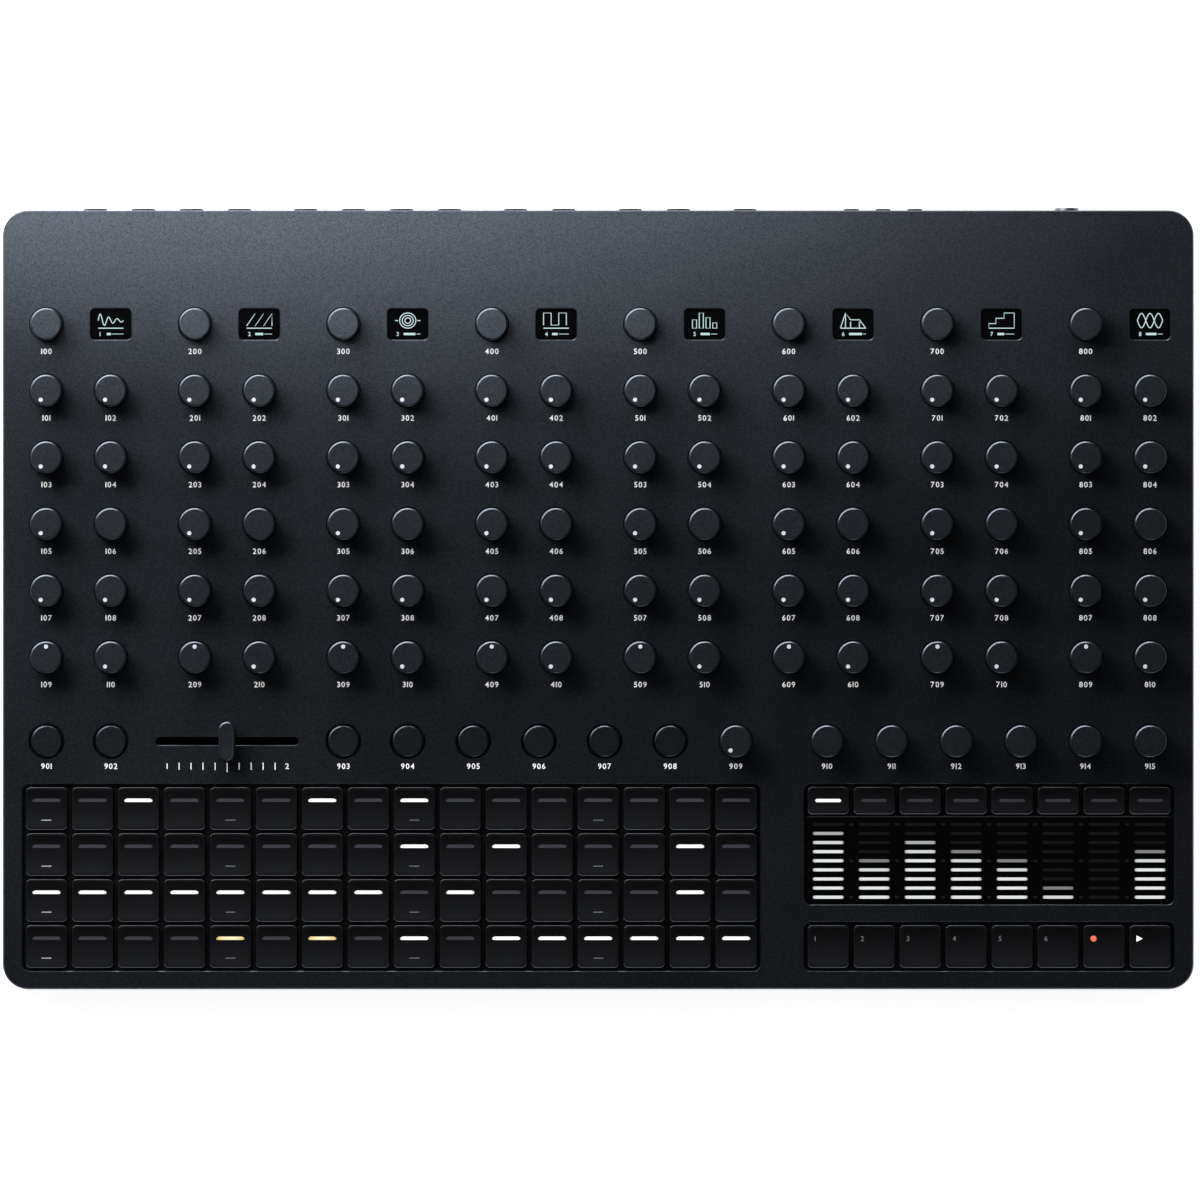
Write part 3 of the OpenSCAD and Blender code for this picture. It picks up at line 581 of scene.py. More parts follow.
@dataclass(frozen=True)
class Coating:
    """A painted, moulded or blasted surface: speckled colour, fine bump, handling marks, smoother edges.
    Where set, also a painted highlight on edges that face the front or rear, and painted shade across a
    hollow top.
    """

    name: str
    colour: Colour
    speckle: Colour
    roughness: float = 0.45
    metallic: float = 0.0
    grains: float = 4000.0
    bump: float = 0.25
    depth: float = 0.02
    handling: float = 0.04
    coat: float = 0.0
    cut: float = 0.06
    # The next three set a painted highlight and painted shade: how much the colour is raised on edge slopes
    # that face the front or rear, how strongly the front-facing ones count, and how much a hollow top is
    # painted brighter or darker by its lean to the rear or front.
    edge_light: float = 1.0
    front_gain: float = 1.6
    hollow_light: float = 0.0
    gloss: float = 0.5

    def material(self) -> bpy.types.Material:
        """Builds the material.

        Returns:
            A material whose colour, roughness and normal follow the shared grain and handling groups.
        """
        material, tree, shader = blank_material(self.name)
        links = tree.links
        grain = placed(tree, grain_group(), Grains_per_metre=self.grains)
        handling = placed(tree, handling_group())
        mix = node(tree, "ShaderNodeMix", data_type="RGBA")
        mix.inputs["A"].default_value = (*self.colour, 1)
        mix.inputs["B"].default_value = (*self.speckle, 1)
        links.new(grain.outputs["Speckle"], mix.inputs["Factor"])
        edges = placed(tree, worked_edge_group(), Front_gain=self.front_gain)
        # Painted highlight and shade: the colour is scaled up on edge slopes facing the front or rear, and up
        # or down on a hollow top by how it leans to the rear or front.
        lighter = maths(tree, "MULTIPLY_ADD", edges.outputs["Painted highlight edges"], self.edge_light - 1, 1.0)
        if self.hollow_light:
            lighter = maths(tree, "MULTIPLY_ADD", edges.outputs["Painted shade lean"], self.hollow_light, lighter)
        colour = node(tree, "ShaderNodeVectorMath", operation="SCALE")
        links.new(mix.outputs["Result"], colour.inputs[0])
        links.new(lighter, colour.inputs["Scale"])
        links.new(colour.outputs["Vector"], shader.inputs["Base Color"])
        rough = maths(tree, "MULTIPLY_ADD", handling.outputs["Mask"], -self.handling, self.roughness)
        rough = maths(tree, "MULTIPLY_ADD", edges.outputs["Mask"], -self.cut, rough)
        links.new(rough, shader.inputs["Roughness"])
        shader.inputs["Metallic"].default_value = self.metallic
        shader.inputs["Coat Weight"].default_value = self.coat
        shader.inputs["Specular IOR Level"].default_value = self.gloss
        bump = node(tree, "ShaderNodeBump", {"Distance": self.depth * MM})
        strength = maths(tree, "MULTIPLY_ADD", edges.outputs["Mask"], -0.9 * self.bump, self.bump)
        links.new(strength, bump.inputs["Strength"])
        links.new(grain.outputs["Height"], bump.inputs["Height"])
        links.new(bump.outputs["Normal"], shader.inputs["Normal"])
        return material


@dataclass(frozen=True)
class TurnedMetal:
    """Bare metal with fine rings or lines from the tool, drawn by a stretched noise."""

    name: str
    colour: Colour
    roughness: float = 0.3
    lines: float = 3000.0

    def material(self) -> bpy.types.Material:
        """Builds the material.

        Returns:
            A metal whose roughness and normal follow fine tool lines along X.
        """
        material, tree, shader = blank_material(self.name)
        links = tree.links
        place = node(tree, "ShaderNodeTexCoord")
        stretch = node(tree, "ShaderNodeMapping")
        stretch.inputs["Scale"].default_value = (0.02, 1.0, 1.0)
        noise = node(tree, "ShaderNodeTexNoise", {"Scale": self.lines, "Detail": 2.0})
        links.new(place.outputs["Object"], stretch.inputs["Vector"])
        links.new(stretch.outputs["Vector"], noise.inputs["Vector"])
        shader.inputs["Base Color"].default_value = (*self.colour, 1)
        shader.inputs["Metallic"].default_value = 1.0
        rough = maths(tree, "MULTIPLY_ADD", noise.outputs["Fac"], 0.2, self.roughness - 0.1)
        links.new(rough, shader.inputs["Roughness"])
        bump = node(tree, "ShaderNodeBump", {"Strength": 0.15, "Distance": 0.01 * MM})
        links.new(noise.outputs["Fac"], bump.inputs["Height"])
        links.new(bump.outputs["Normal"], shader.inputs["Normal"])
        return material


@dataclass(frozen=True)
class BlackGlass:
    """A polished dark window with faint smears in its gloss."""

    name: str
    colour: Colour
    roughness: float = 0.05

    def material(self) -> bpy.types.Material:
        """Builds the material.

        Returns:
            A near-black gloss whose roughness rises a little where it has been touched.
        """
        material, tree, shader = blank_material(self.name)
        handling = placed(tree, handling_group(), Patches_per_metre=45.0, Cover=0.4)
        rough = maths(tree, "MULTIPLY_ADD", handling.outputs["Mask"], 0.06, self.roughness)
        tree.links.new(rough, shader.inputs["Roughness"])
        shader.inputs["Base Color"].default_value = (*self.colour, 1)
        shader.inputs["IOR"].default_value = 1.5
        return material


@dataclass(frozen=True)
class GlowingPlastic:
    """Diffusing plastic lit from behind: each point's own light colour, less towards the piece's ends."""

    name: str
    body: Colour
    strength: float = 1.0

    def material(self) -> bpy.types.Material:
        """Builds the material.

        Returns:
            A satin plastic whose emission colour is the mesh's glow attribute.
        """
        material, tree, shader = blank_material(self.name)
        glow = node(tree, "ShaderNodeAttribute", attribute_name="glow")
        tree.links.new(glow.outputs["Color"], shader.inputs["Emission Color"])
        grain = placed(tree, grain_group(), Grains_per_metre=2500.0)
        rough = maths(tree, "MULTIPLY_ADD", grain.outputs["Speckle"], 0.1, 0.4)
        tree.links.new(rough, shader.inputs["Roughness"])
        shader.inputs["Base Color"].default_value = (*self.body, 1)
        shader.inputs["Emission Strength"].default_value = self.strength
        return material


@dataclass(frozen=True)
class PrintedInk:
    """Screen-printed ink: its colour with slightly uneven cover."""

    name: str
    colour: Colour
    thin: Colour

    def material(self) -> bpy.types.Material:
        """Builds the material.

        Returns:
            A matt ink that the grain under it shows through a little.
        """
        material, tree, shader = blank_material(self.name)
        grain = placed(tree, grain_group(), Grains_per_metre=6000.0)
        mix = node(tree, "ShaderNodeMix", data_type="RGBA")
        mix.inputs["A"].default_value = (*self.thin, 1)
        mix.inputs["B"].default_value = (*self.colour, 1)
        tree.links.new(grain.outputs["Speckle"], mix.inputs["Factor"])
        tree.links.new(mix.outputs["Result"], shader.inputs["Base Color"])
        shader.inputs["Roughness"].default_value = 0.6
        return material


def cool_metal(level: float) -> Colour:
    """The slightly blue grey that the dark metal parts share, at a level of reflected light."""
    return 0.87 * level, 1.0 * level, 1.2 * level


def blasted(name: str, low: float, high: float, edge_light: float = 1.0) -> Coating:
    """Bead-blasted and dyed metal, whose grains go from one level of reflected light to another, with an
    optional painted highlight on edge slopes that face the front or rear.
    """
    dark, light = cool_metal(low), cool_metal(high)
    return Coating(name, dark, light, 0.38, 1.0, grains=1900, bump=1.0, depth=0.03, edge_light=edge_light)


class Look(Enum):
    """Every finish on the object."""

    # Painted highlight: the face plate's colour is raised, by up to about half, on edge slopes that face the
    # front or rear.
    FACE = blasted("face_coat", 0.055, 0.125, 1.3)
    CASE = blasted("case_coat", 0.055, 0.125)
    BASE = Coating("base_coat", srgb(30, 32, 35), srgb(42, 44, 48), 0.6, grains=3000, bump=0.4, depth=0.03)
    REAR = Coating("rear_moulding", srgb(26, 27, 29), srgb(36, 37, 40), 0.55, grains=3500, bump=0.3)
    KNOB = blasted("knob_metal", 0.085, 0.155)
    BUTTON = blasted("button_metal", 0.06, 0.12)
    # Painted highlight and shade on the pads: edge slopes that face the front are painted many times brighter
    # and those that face the rear somewhat brighter, and the hollow top is painted brighter where it leans to
    # the rear (its front half) and darker where it leans to the front.
    PAD = Coating(
        "pad_moulding", srgb(13, 14, 16), srgb(17, 18, 21), 0.3, grains=3000, bump=0.2, depth=0.015,
        edge_light=9, front_gain=7, hollow_light=8,
    )
    RUBBER = Coating("foot_rubber", srgb(22, 22, 23), srgb(34, 34, 35), 0.85, grains=1800, bump=0.5)
    # Painted shadow: a matt black with no gloss, used only for the rings that stand in for the contact shadow
    # round the knobs.
    FELT = Coating("painted_shadow_black", srgb(4, 4, 5), srgb(8, 8, 9), 0.95, grains=5000, bump=0.5, gloss=0.0)
    NYLON = Coating("black_nylon", srgb(9, 9, 10), srgb(14, 14, 16), 0.45, grains=3000, bump=0.2, gloss=0.3)
    SILICONE = Coating("mat_silicone", srgb(112, 116, 120), srgb(124, 128, 132), 0.7, grains=1500)
    BOARD = Coating("circuit_board", srgb(16, 62, 38), srgb(30, 88, 54), 0.35, grains=900, bump=0.1, coat=0.3)
    POT = Coating("pot_body", srgb(52, 74, 60), srgb(66, 90, 74), 0.45, grains=2500)
    RIBBON = Coating("ribbon_plastic", srgb(150, 152, 154), srgb(168, 170, 172), 0.5, grains=1200)
    BLACK_STEEL = Coating("black_oxide", srgb(34, 34, 36), srgb(58, 58, 60), 0.35, metallic=1.0, grains=2500)
    STEEL = TurnedMetal("bare_steel", srgb(188, 190, 193))
    BRASS = TurnedMetal("spacer_brass", srgb(196, 170, 104))
    BUTTON_METAL = TurnedMetal("turned_aluminium", srgb(120, 124, 130), 0.35)
    SCREEN = BlackGlass("screen_glass", srgb(6, 6, 7))
    TOUCH = BlackGlass("touch_glass", srgb(5, 5, 6), 0.07)
    GLOW = GlowingPlastic("light_plastic", srgb(46, 47, 54))
    SCREEN_GLOW = GlowingPlastic("screen_lines", srgb(10, 12, 12))
    TOUCH_GLOW = GlowingPlastic("touch_light", srgb(5, 5, 6))
    INK = PrintedInk("white_ink", srgb(252, 252, 253), srgb(240, 241, 243))
    INLAY = PrintedInk("pale_inlay", srgb(202, 206, 214), srgb(190, 194, 202))
    GREY_INK = PrintedInk("light_grey_ink", srgb(176, 178, 180), srgb(160, 162, 164))
    DIM_INK = PrintedInk("grey_ink", srgb(106, 108, 111), srgb(90, 92, 95))

    @cache
    def material(self) -> bpy.types.Material:
        """The finish's material, built the first time it is asked for."""
        return self.value.material()


def make_piece(
    name: str,
    shape: Shape,
    look: Look,
    body: str = CASE,
    replaces: Sequence[str] = (),
    sharp: float = 35.0,
) -> bpy.types.Object:
    """Puts a shape into a mesh object, dresses it, and ties it to the frame.

    Args:
        name: the piece's name.
        shape: its surface, in millimetres on the frame's own axes.
        look: its finish.
        body: the CAD body that it moves with.
        replaces: CAD nodes that it stands for.
        sharp: edges that turn by more than this, in degrees, stay sharp.

    Returns:
        The object, at the origin, with its place in its mesh.
    """
    mesh = bpy.data.meshes.new(name)
    mesh.vertices.add(len(shape.points))
    mesh.vertices.foreach_set("co", (shape.points * MM).astype(np.float32).ravel())
    corners = np.concatenate([shape.quads.ravel(), shape.tris.ravel()]).astype(np.int32)
    fours, threes = len(shape.quads), len(shape.tris)
    starts = np.concatenate([np.arange(fours) * 4, fours * 4 + np.arange(threes) * 3]).astype(np.int32)
    mesh.loops.add(len(corners))
    mesh.loops.foreach_set("vertex_index", corners)
    mesh.polygons.add(fours + threes)
    mesh.polygons.foreach_set("loop_start", starts)
    mesh.update(calc_edges=True)
    mesh.polygons.foreach_set("use_smooth", np.ones(fours + threes, bool))
    mesh.set_sharp_from_angle(angle=math.radians(sharp))
    if shape.glow is not None:
        colours = np.column_stack([shape.glow, np.ones(len(shape.points))]).astype(np.float32)
        mesh.attributes.new("glow", "FLOAT_COLOR", "POINT").data.foreach_set("color", colours.ravel())
    mesh.materials.append(look.material())
    piece = bpy.data.objects.new(name, mesh)
    bpy.context.scene.collection.objects.link(piece)
    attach(piece, body)
    if replaces:
        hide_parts(*replaces)
    log.info("%s: %d points, %d faces", name, len(shape.points), fours + threes)
    return piece


# ---------------------------------------------------------------------------------------------------------
# Where things are
# ---------------------------------------------------------------------------------------------------------


@cache
def box_mm(name: str) -> tuple[np.ndarray, np.ndarray]:
    """A CAD node's lowest and highest corners, in millimetres."""
    low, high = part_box(name)
    return np.array(low) / MM, np.array(high) / MM


def joint_place(name: str) -> np.ndarray:
    """Where a hinge stands, in millimetres."""
    return np.array(next(j["pos_m"] for j in frame["joints"] if j["name"] == name)) / MM


def middle(name: str) -> np.ndarray:
    """The middle of a CAD node's box, in millimetres."""
    low, high = box_mm(name)
    return (low + high) / 2


def in_a_row(xs: np.ndarray, y: float) -> np.ndarray:
    """Offsets along X at one y, as rows of x, y and zero."""
    return np.column_stack([xs, np.full(len(xs), y), np.zeros(len(xs))])


class Stop(Enum):
    """Where a knob's indicator dot rests, in degrees clockwise from the rear."""

    LOW = -150.0
    MIDDLE = 0.0
    NONE = None


@dataclass(frozen=True)
class KnobPlace:
    """A knob's name in its channel, and where its dot rests."""

    label: str
    stop: Stop


CHANNEL_KNOBS = (
    KnobPlace("selector", Stop.NONE),
    KnobPlace("a", Stop.LOW),
    KnobPlace("pitch", Stop.LOW),
    KnobPlace("b", Stop.LOW),
    KnobPlace("decay", Stop.LOW),
    KnobPlace("c", Stop.LOW),
    KnobPlace("lfo", Stop.NONE),
    KnobPlace("fx1", Stop.LOW),
    KnobPlace("fx2", Stop.LOW),
    KnobPlace("pan", Stop.MIDDLE),
    KnobPlace("volume", Stop.LOW),
)


@dataclass
class Plan:
    """Places that more than one sub-assembly needs, all worked out from the frame, in millimetres."""

    channels: int = 8
    pad_columns: int = 16
    sequencer_knobs: int = 6
    pad_wall_out: float = 0.45
    face: np.ndarray = field(default_factory=lambda: np.array(box_mm("face_plate")))

    @property
    def face_z(self) -> float:
        """Height of the face plate's top."""
        return float(self.face[1][2])

    @property
    def knob_foot(self) -> float:
        """Height of the knobs' lower edge: the fader cap stands as high over the face."""
        return float(box_mm("fader_cap")[0][2])

    @property
    def knob_top(self) -> float:
        """Height of the knobs' tops."""
        return float(box_mm("master_volume_knob")[1][2])

    def channel_knob(self, channel: int, knob: KnobPlace) -> np.ndarray:
        """Where a channel's knob stands: the first channel's knob, moved on by the channels' pitch.

        Args:
            channel: the channel, from 0.
            knob: which of its knobs.

        Returns:
            The x and y of the knob's axis.
        """
        first = joint_place(f"channel_1_{knob.label}_turn")
        last_selector = joint_place(f"channel_{self.channels}_selector_turn")
        pitch = (last_selector - joint_place("channel_1_selector_turn"))[0] / (self.channels - 1)
        return np.array([first[0] + channel * pitch, first[1]])

    def lower_row_y(self) -> float:
        """Where the lower row of knobs and buttons runs."""
        return float(joint_place("master_volume_turn")[1])

    def row_of_pads(self, name: str, count: int, pad_width: float) -> np.ndarray:
        """The pads' middles along X: the node's box less half a pad and its flange, shared out evenly.

        Args:
            name: the row's CAD node.
            count: how many pads it has.
            pad_width: a pad's size along X, without its flange.

        Returns:
            The x of each pad.
        """
        low, high = box_mm(name)
        edge = pad_width / 2 + self.pad_wall_out
        return np.linspace(low[0] + edge, high[0] - edge, count)


# ---------------------------------------------------------------------------------------------------------
# Sub-assemblies
# ---------------------------------------------------------------------------------------------------------


@dataclass
class Knobs:
    """The knobs: a flat-topped cap with a cut rim, a recess under its skirt, its shaft, and a dot."""

    plan: Plan
    foot_radius: float = 6.4
    draft: float = 0.15
    edge: float = 0.25
    rim: float = 0.42
    skirt: float = 1.0
    bevel: float = 0.15
    hub: float = 4.3
    recess: float = 3.5
    shaft: float = 3.0
    dot_radius: float = 0.85
    dot_orbit: float = 4.2
    dot_rise: float = 0.02
    segments: int = 72
    # Inner and outer radius of the painted shadow ring round each knob, and its rise over the face.
    seal: tuple[float, float] = (5.9, 6.85)
    seal_rise: float = 0.03

    def cap(self) -> Shape:
        """The cap about its own axis: a revolved profile, whose round edge runs on into the sloping rim.

        Returns:
            The cap, with the shaft's stub as part of its underside.
        """
        foot, top = self.plan.knob_foot, self.plan.knob_top
        shaft_end = float(box_mm("master_volume_knob")[0][2])
        inside, roof = self.foot_radius - self.skirt, foot + self.recess
        profile = [(self.shaft, shaft_end), (self.shaft, foot), (self.hub, foot), (self.hub, roof)]
        profile += [(inside, roof), (inside, foot)]
        profile += [(self.foot_radius - self.bevel, foot), (self.foot_radius, foot + self.bevel)]
        profile += cut_rim(self.foot_radius - self.draft, top, self.edge, self.rim)
        return revolved(profile, self.segments)

    def dot(self) -> Shape:
        """The inlaid indicator dot: a low disc with a bevelled edge.

        Returns:
            The dot about the knob's axis.
        """
        top = self.plan.knob_top + self.dot_rise
        radius = self.dot_radius
        return revolved([(radius, top - 0.4), (radius, top - 0.05), (radius - 0.05, top)], 24)

    def dot_offset(self, stop: Stop) -> np.ndarray:
        """Where the dot stands from the knob's axis: its orbit at the stop's angle, clockwise from +Y."""
        angle = math.radians(stop.value)
        return np.array([math.sin(angle), math.cos(angle)]) * self.dot_orbit

    def seals(self) -> None:
        """Painted shadow: matt black rings on the face under the knobs' skirts and a little beyond them, as
        one piece, standing in for the contact shadow round each knob.
        """
        turn = np.linspace(0, 2 * np.pi, 40, endpoint=False)
        inner, outer = self.seal
        circle = (inner + outer) / 2 * np.column_stack([np.cos(turn), np.sin(turn)])
        face = self.plan.face_z
        ring = strip(circle, outer - inner, face - 0.05, face + self.seal_rise, True)
        channels = range(self.plan.channels)
        places = [self.plan.channel_knob(channel, knob) for channel in channels for knob in CHANNEL_KNOBS]
        singles = [f"sequencer_knob_{i}_turn" for i in range(1, self.plan.sequencer_knobs + 1)]
        places += [joint_place(name)[:2] for name in (*singles, "master_volume_turn")]
        offsets = np.column_stack([np.array(places), np.zeros(len(places))])
        make_piece("knob_painted_shadow_rings", ring.repeated(offsets), Look.FELT)

    def one(self, name: str, body: str, stop: Stop) -> None:
        """A knob that turns by itself.

        Args:
            name: the CAD node it stands for.
            body: the body it rides on.
            stop: where its dot rests.
        """
        x, y, _ = middle(name)
        make_piece(f"{name}_cap", self.cap().moved(x, y), Look.KNOB, body, [name])
        if stop is not Stop.NONE:
            dx, dy = self.dot_offset(stop)
            make_piece(f"{name}_dot", self.dot().moved(x + dx, y + dy), Look.INLAY, body)

    def fixed_channel(self, channel: int) -> None:
        """The ten knobs of one channel that share the fixed CAD node, and their dots.

        Args:
            channel: the channel, from 0.
        """
        caps, dots = [], []
        for knob in CHANNEL_KNOBS[1:]:
            place = self.plan.channel_knob(channel, knob)
            caps.append([*place, 0.0])
            if knob.stop is not Stop.NONE:
                dots.append([*(place + self.dot_offset(knob.stop)), 0.0])
        name = f"channel_{channel + 1}"
        made = self.cap().repeated(np.array(caps))
        make_piece(f"{name}_knob_caps", made, Look.KNOB, CASE, ["channel_knobs"])
        make_piece(f"{name}_knob_dots", self.dot().repeated(np.array(dots)), Look.INLAY)

    def build(self) -> None:
        """Makes all the knobs and the painted shadow rings under them."""
        self.seals()
        for knob in CHANNEL_KNOBS:
            name = f"channel_1_{knob.label}_knob"
            self.one(name, name, knob.stop)
        for channel in range(1, self.plan.channels):
            name = f"channel_{channel + 1}_selector_knob"
            self.one(name, name, Stop.NONE)
            self.fixed_channel(channel)
        for i in range(1, self.plan.sequencer_knobs + 1):
            self.one(f"sequencer_knob_{i}", f"sequencer_knob_{i}", Stop.NONE)
        self.one("master_volume_knob", "master_volume_knob", Stop.LOW)


class Light(Enum):
    """What a light window shows: the light colour in its middle and the one at its ends."""

    # Painted glow: an unlit window still gives a dim grey light of its own, standing in for the grey it shows
    # under the lamps.
    OFF = (srgb(26, 27, 32), srgb(26, 27, 32))
    WHITE = ((1.25, 1.25, 1.25), (1.2, 1.2, 1.2))
    AMBER = (srgb(255, 246, 200), srgb(222, 184, 66))
    RED = (srgb(245, 110, 78), srgb(245, 110, 78))


LIGHT_CODES = {".": Light.OFF, "#": Light.WHITE, "o": Light.AMBER}


@dataclass
class Pads:
    """The step, select and function pads: hollowed caps with rolled edges, and light windows in them."""

    plan: Plan
    width: float = 16.3
    depth: float = 16.7
    select_depth: float = 10.7
    corner: float = 1.9
    edge: float = 0.3
    dish_share: float = 0.026
    window: tuple[float, float] = (11.4, 1.34)
    select_window: tuple[float, float] = (10.9, 1.25)
    window_soft: float = 0.9
    window_depth: float = 0.8
    window_y: float = 3.25
    # Share of the unlit windows' painted glow that the select pads keep.
    unlit_select: float = 0.5
    mark: tuple[float, float] = (3.9, 0.36)
    mark_depth: float = 0.3
    mark_y: float = -4.6
    mark_every: int = 4
    sign_in: float = 2.8
    sign_y: float = 3.1
    sign_size: float = 2.0
    sign_depth: float = 0.5
    dot_radius: float = 1.2
    rise: float = 0.02
    lights: tuple[str, ...] = ("..#...#.#.......", "........#.#...#.", "########.#....#.", "....o.o.#.######")
    select_lights: str = "#......."

    def hollow(self, depth: float, x: np.ndarray | float, y: np.ndarray | float) -> np.ndarray | float:
        """How far a pad's top lies under its rim: a trough across the pad, a little deeper in its middle.

        That is the pad's depth times its share times one less the square of y over half the depth. The sides
        have four fifths of it, and the rest comes in as one less the square of x over half the width.

        Args:
            depth: the pad's size along Y.
            x: places along X from the pad's middle.
            y: places along Y from the pad's middle.

        Returns:
            The way down from the rim at each place.
        """
        along = np.clip(1 - (y / (depth / 2)) ** 2, 0, 1)
        across = np.clip(1 - (x / (self.width / 2)) ** 2, 0, 1)
        return self.dish_share * depth * along * (0.8 + 0.2 * across)

    def cap(self, depth: float, foot: float, top: float) -> Shape:
        """A pad's cap with its flange, about its own middle.

        Args:
            depth: its size along Y.
            foot: height of its lower edge.
            top: height of its rim.

        Returns:
            The closed cap.
        """
        outline = round_outline(self.width, depth, self.corner, 6, 3)
        out = self.plan.pad_wall_out
        profile = [(-out, foot), (-out, foot + 1), (0, foot + 1), (0, top - self.edge)]
        profile += [(self.edge - x, top - self.edge + z) for x, z in arc((0, 0), self.edge, 22, 90, 4)]
        return carried_round(outline, profile, lambda x, y: -self.hollow(depth, x, y), 6, 5)

    def light_window(
        self, size: tuple[float, float], depth: float, y: float, top: float
    ) -> tuple[Shape, np.ndarray]:
        """A level light window, flush with the hollow along its outer side.

        Args:
            size: its length and width.
            depth: the pad's size along Y.
            y: where the window is on the pad.
            top: height of the pad's rim.

        Returns:
            A bar with round ends, and the share of light at its points.
        """
        level = top - self.hollow(depth, 0.0, y + size[1] / 2) + self.rise
        bar, falloff = light_bar(*size, level - self.window_depth, level, self.window_soft)
        return bar.moved(0, y), falloff

    def grid(self, node_name: str, count: int) -> np.ndarray:
        """Where a row's pads are, as x, y and zero."""
        xs = self.plan.row_of_pads(node_name, count, self.width)
        return in_a_row(xs, middle(node_name)[1])

    def row(self, name: str, depth: float, window_y: float | None, lights: str) -> None:
        """One body's pads and their windows.

        Args:
            name: the CAD node and body.
            depth: a pad's size along Y.
            window_y: where the window is on a pad, or None.
            lights: one letter for each pad.
        """
        low, high = box_mm(name)
        offsets = self.grid(name, len(lights))
        caps = self.cap(depth, low[2], high[2]).repeated(offsets)
        make_piece(f"{name}_caps", caps, Look.PAD, name, [name], 40)
        if window_y is None:
            return
        small = depth == self.select_depth
        size, unlit = (self.select_window, self.unlit_select) if small else (self.window, 1.0)
        # Unlit windows keep a painted glow, less of it on the select pads.
        colours = np.array([np.array(LIGHT_CODES[c].value) * (unlit if c == "." else 1.0) for c in lights])
        window, falloff = self.light_window(size, depth, window_y, high[2])
        outward = np.clip(np.abs(window.points[:, 0]) / (size[0] / 2), 0, 1)[None, :, None] ** 2
        glow = (colours[:, :1] * (1 - outward) + colours[:, 1:] * outward) * falloff[None, :, None]
        windows = replace(window.repeated(offsets), glow=glow.reshape(-1, 3))
        make_piece(f"{name}_windows", windows, Look.GLOW, name)

    def marks(self, name: str) -> None:
        """The small printed dash on every fourth pad of a row, brighter on the first.

        Args:
            name: the row's CAD node and body.
        """
        offsets = self.grid(name, self.plan.pad_columns)[:: self.mark_every]
        under = self.hollow(self.depth, 0.0, self.mark_y - self.mark[1] / 2)
        level = box_mm(name)[1][2] - under + self.rise
        dash = bars(*self.mark, level - self.mark_depth, level).moved(0, self.mark_y)
        make_piece(f"{name}_first_mark", dash.repeated(offsets[:1]), Look.GREY_INK, name)
        make_piece(f"{name}_marks", dash.repeated(offsets[1:]), Look.DIM_INK, name)

    def function_signs(self) -> None:
        """Numbers on six function pads, a record dot on the seventh and a play arrow on the eighth."""
        name = "function_pads"
        *numbered, record, play = self.grid(name, self.plan.channels)
        x_in, y_in, size = self.sign_in - self.width / 2, self.sign_y, self.sign_size
        level = box_mm(name)[1][2] - self.hollow(self.depth, x_in, y_in + size / 2) + self.rise
        numbers = []
        for i, (x, y, _) in enumerate(numbered, 1):
            numbers.append(Type.get().number(str(i), x + x_in, y + y_in, size, level, left=True))
        make_piece("function_pad_numbers", joined(numbers), Look.DIM_INK, name)
        foot, r = level - self.sign_depth, self.dot_radius
        dot = revolved([(r, foot), (r, level - 0.03), (r - 0.05, level)], 32)
        dot = dot.moved(record[0] + x_in + r, record[1] + y_in).lit(Light.RED.value[0])
        tip = np.array([[-1.0, 1.25], [1.4, 0.0], [-1.0, -1.25]])
        rings = np.stack([np.column_stack([tip, np.full(3, z)]) for z in (foot, level)])
        arrow = ring_stack(rings, np.array([0, 0, foot]), np.array([0, 0, level]))
        arrow = arrow.moved(play[0] + x_in + 1.0, play[1] + y_in).lit(Light.WHITE.value[0])
        make_piece("function_pad_signs", joined([dot, arrow]), Look.GLOW, name)

    def build(self) -> None:
        """Makes all the pads."""
        for i, lights in enumerate(self.lights, 1):
            self.row(f"step_pads_row_{i}", self.depth, self.window_y, lights)
            self.marks(f"step_pads_row_{i}")
        self.row("select_pads", self.select_depth, 0.0, self.select_lights)
        self.row("function_pads", self.depth, None, "." * self.plan.channels)
        self.function_signs()


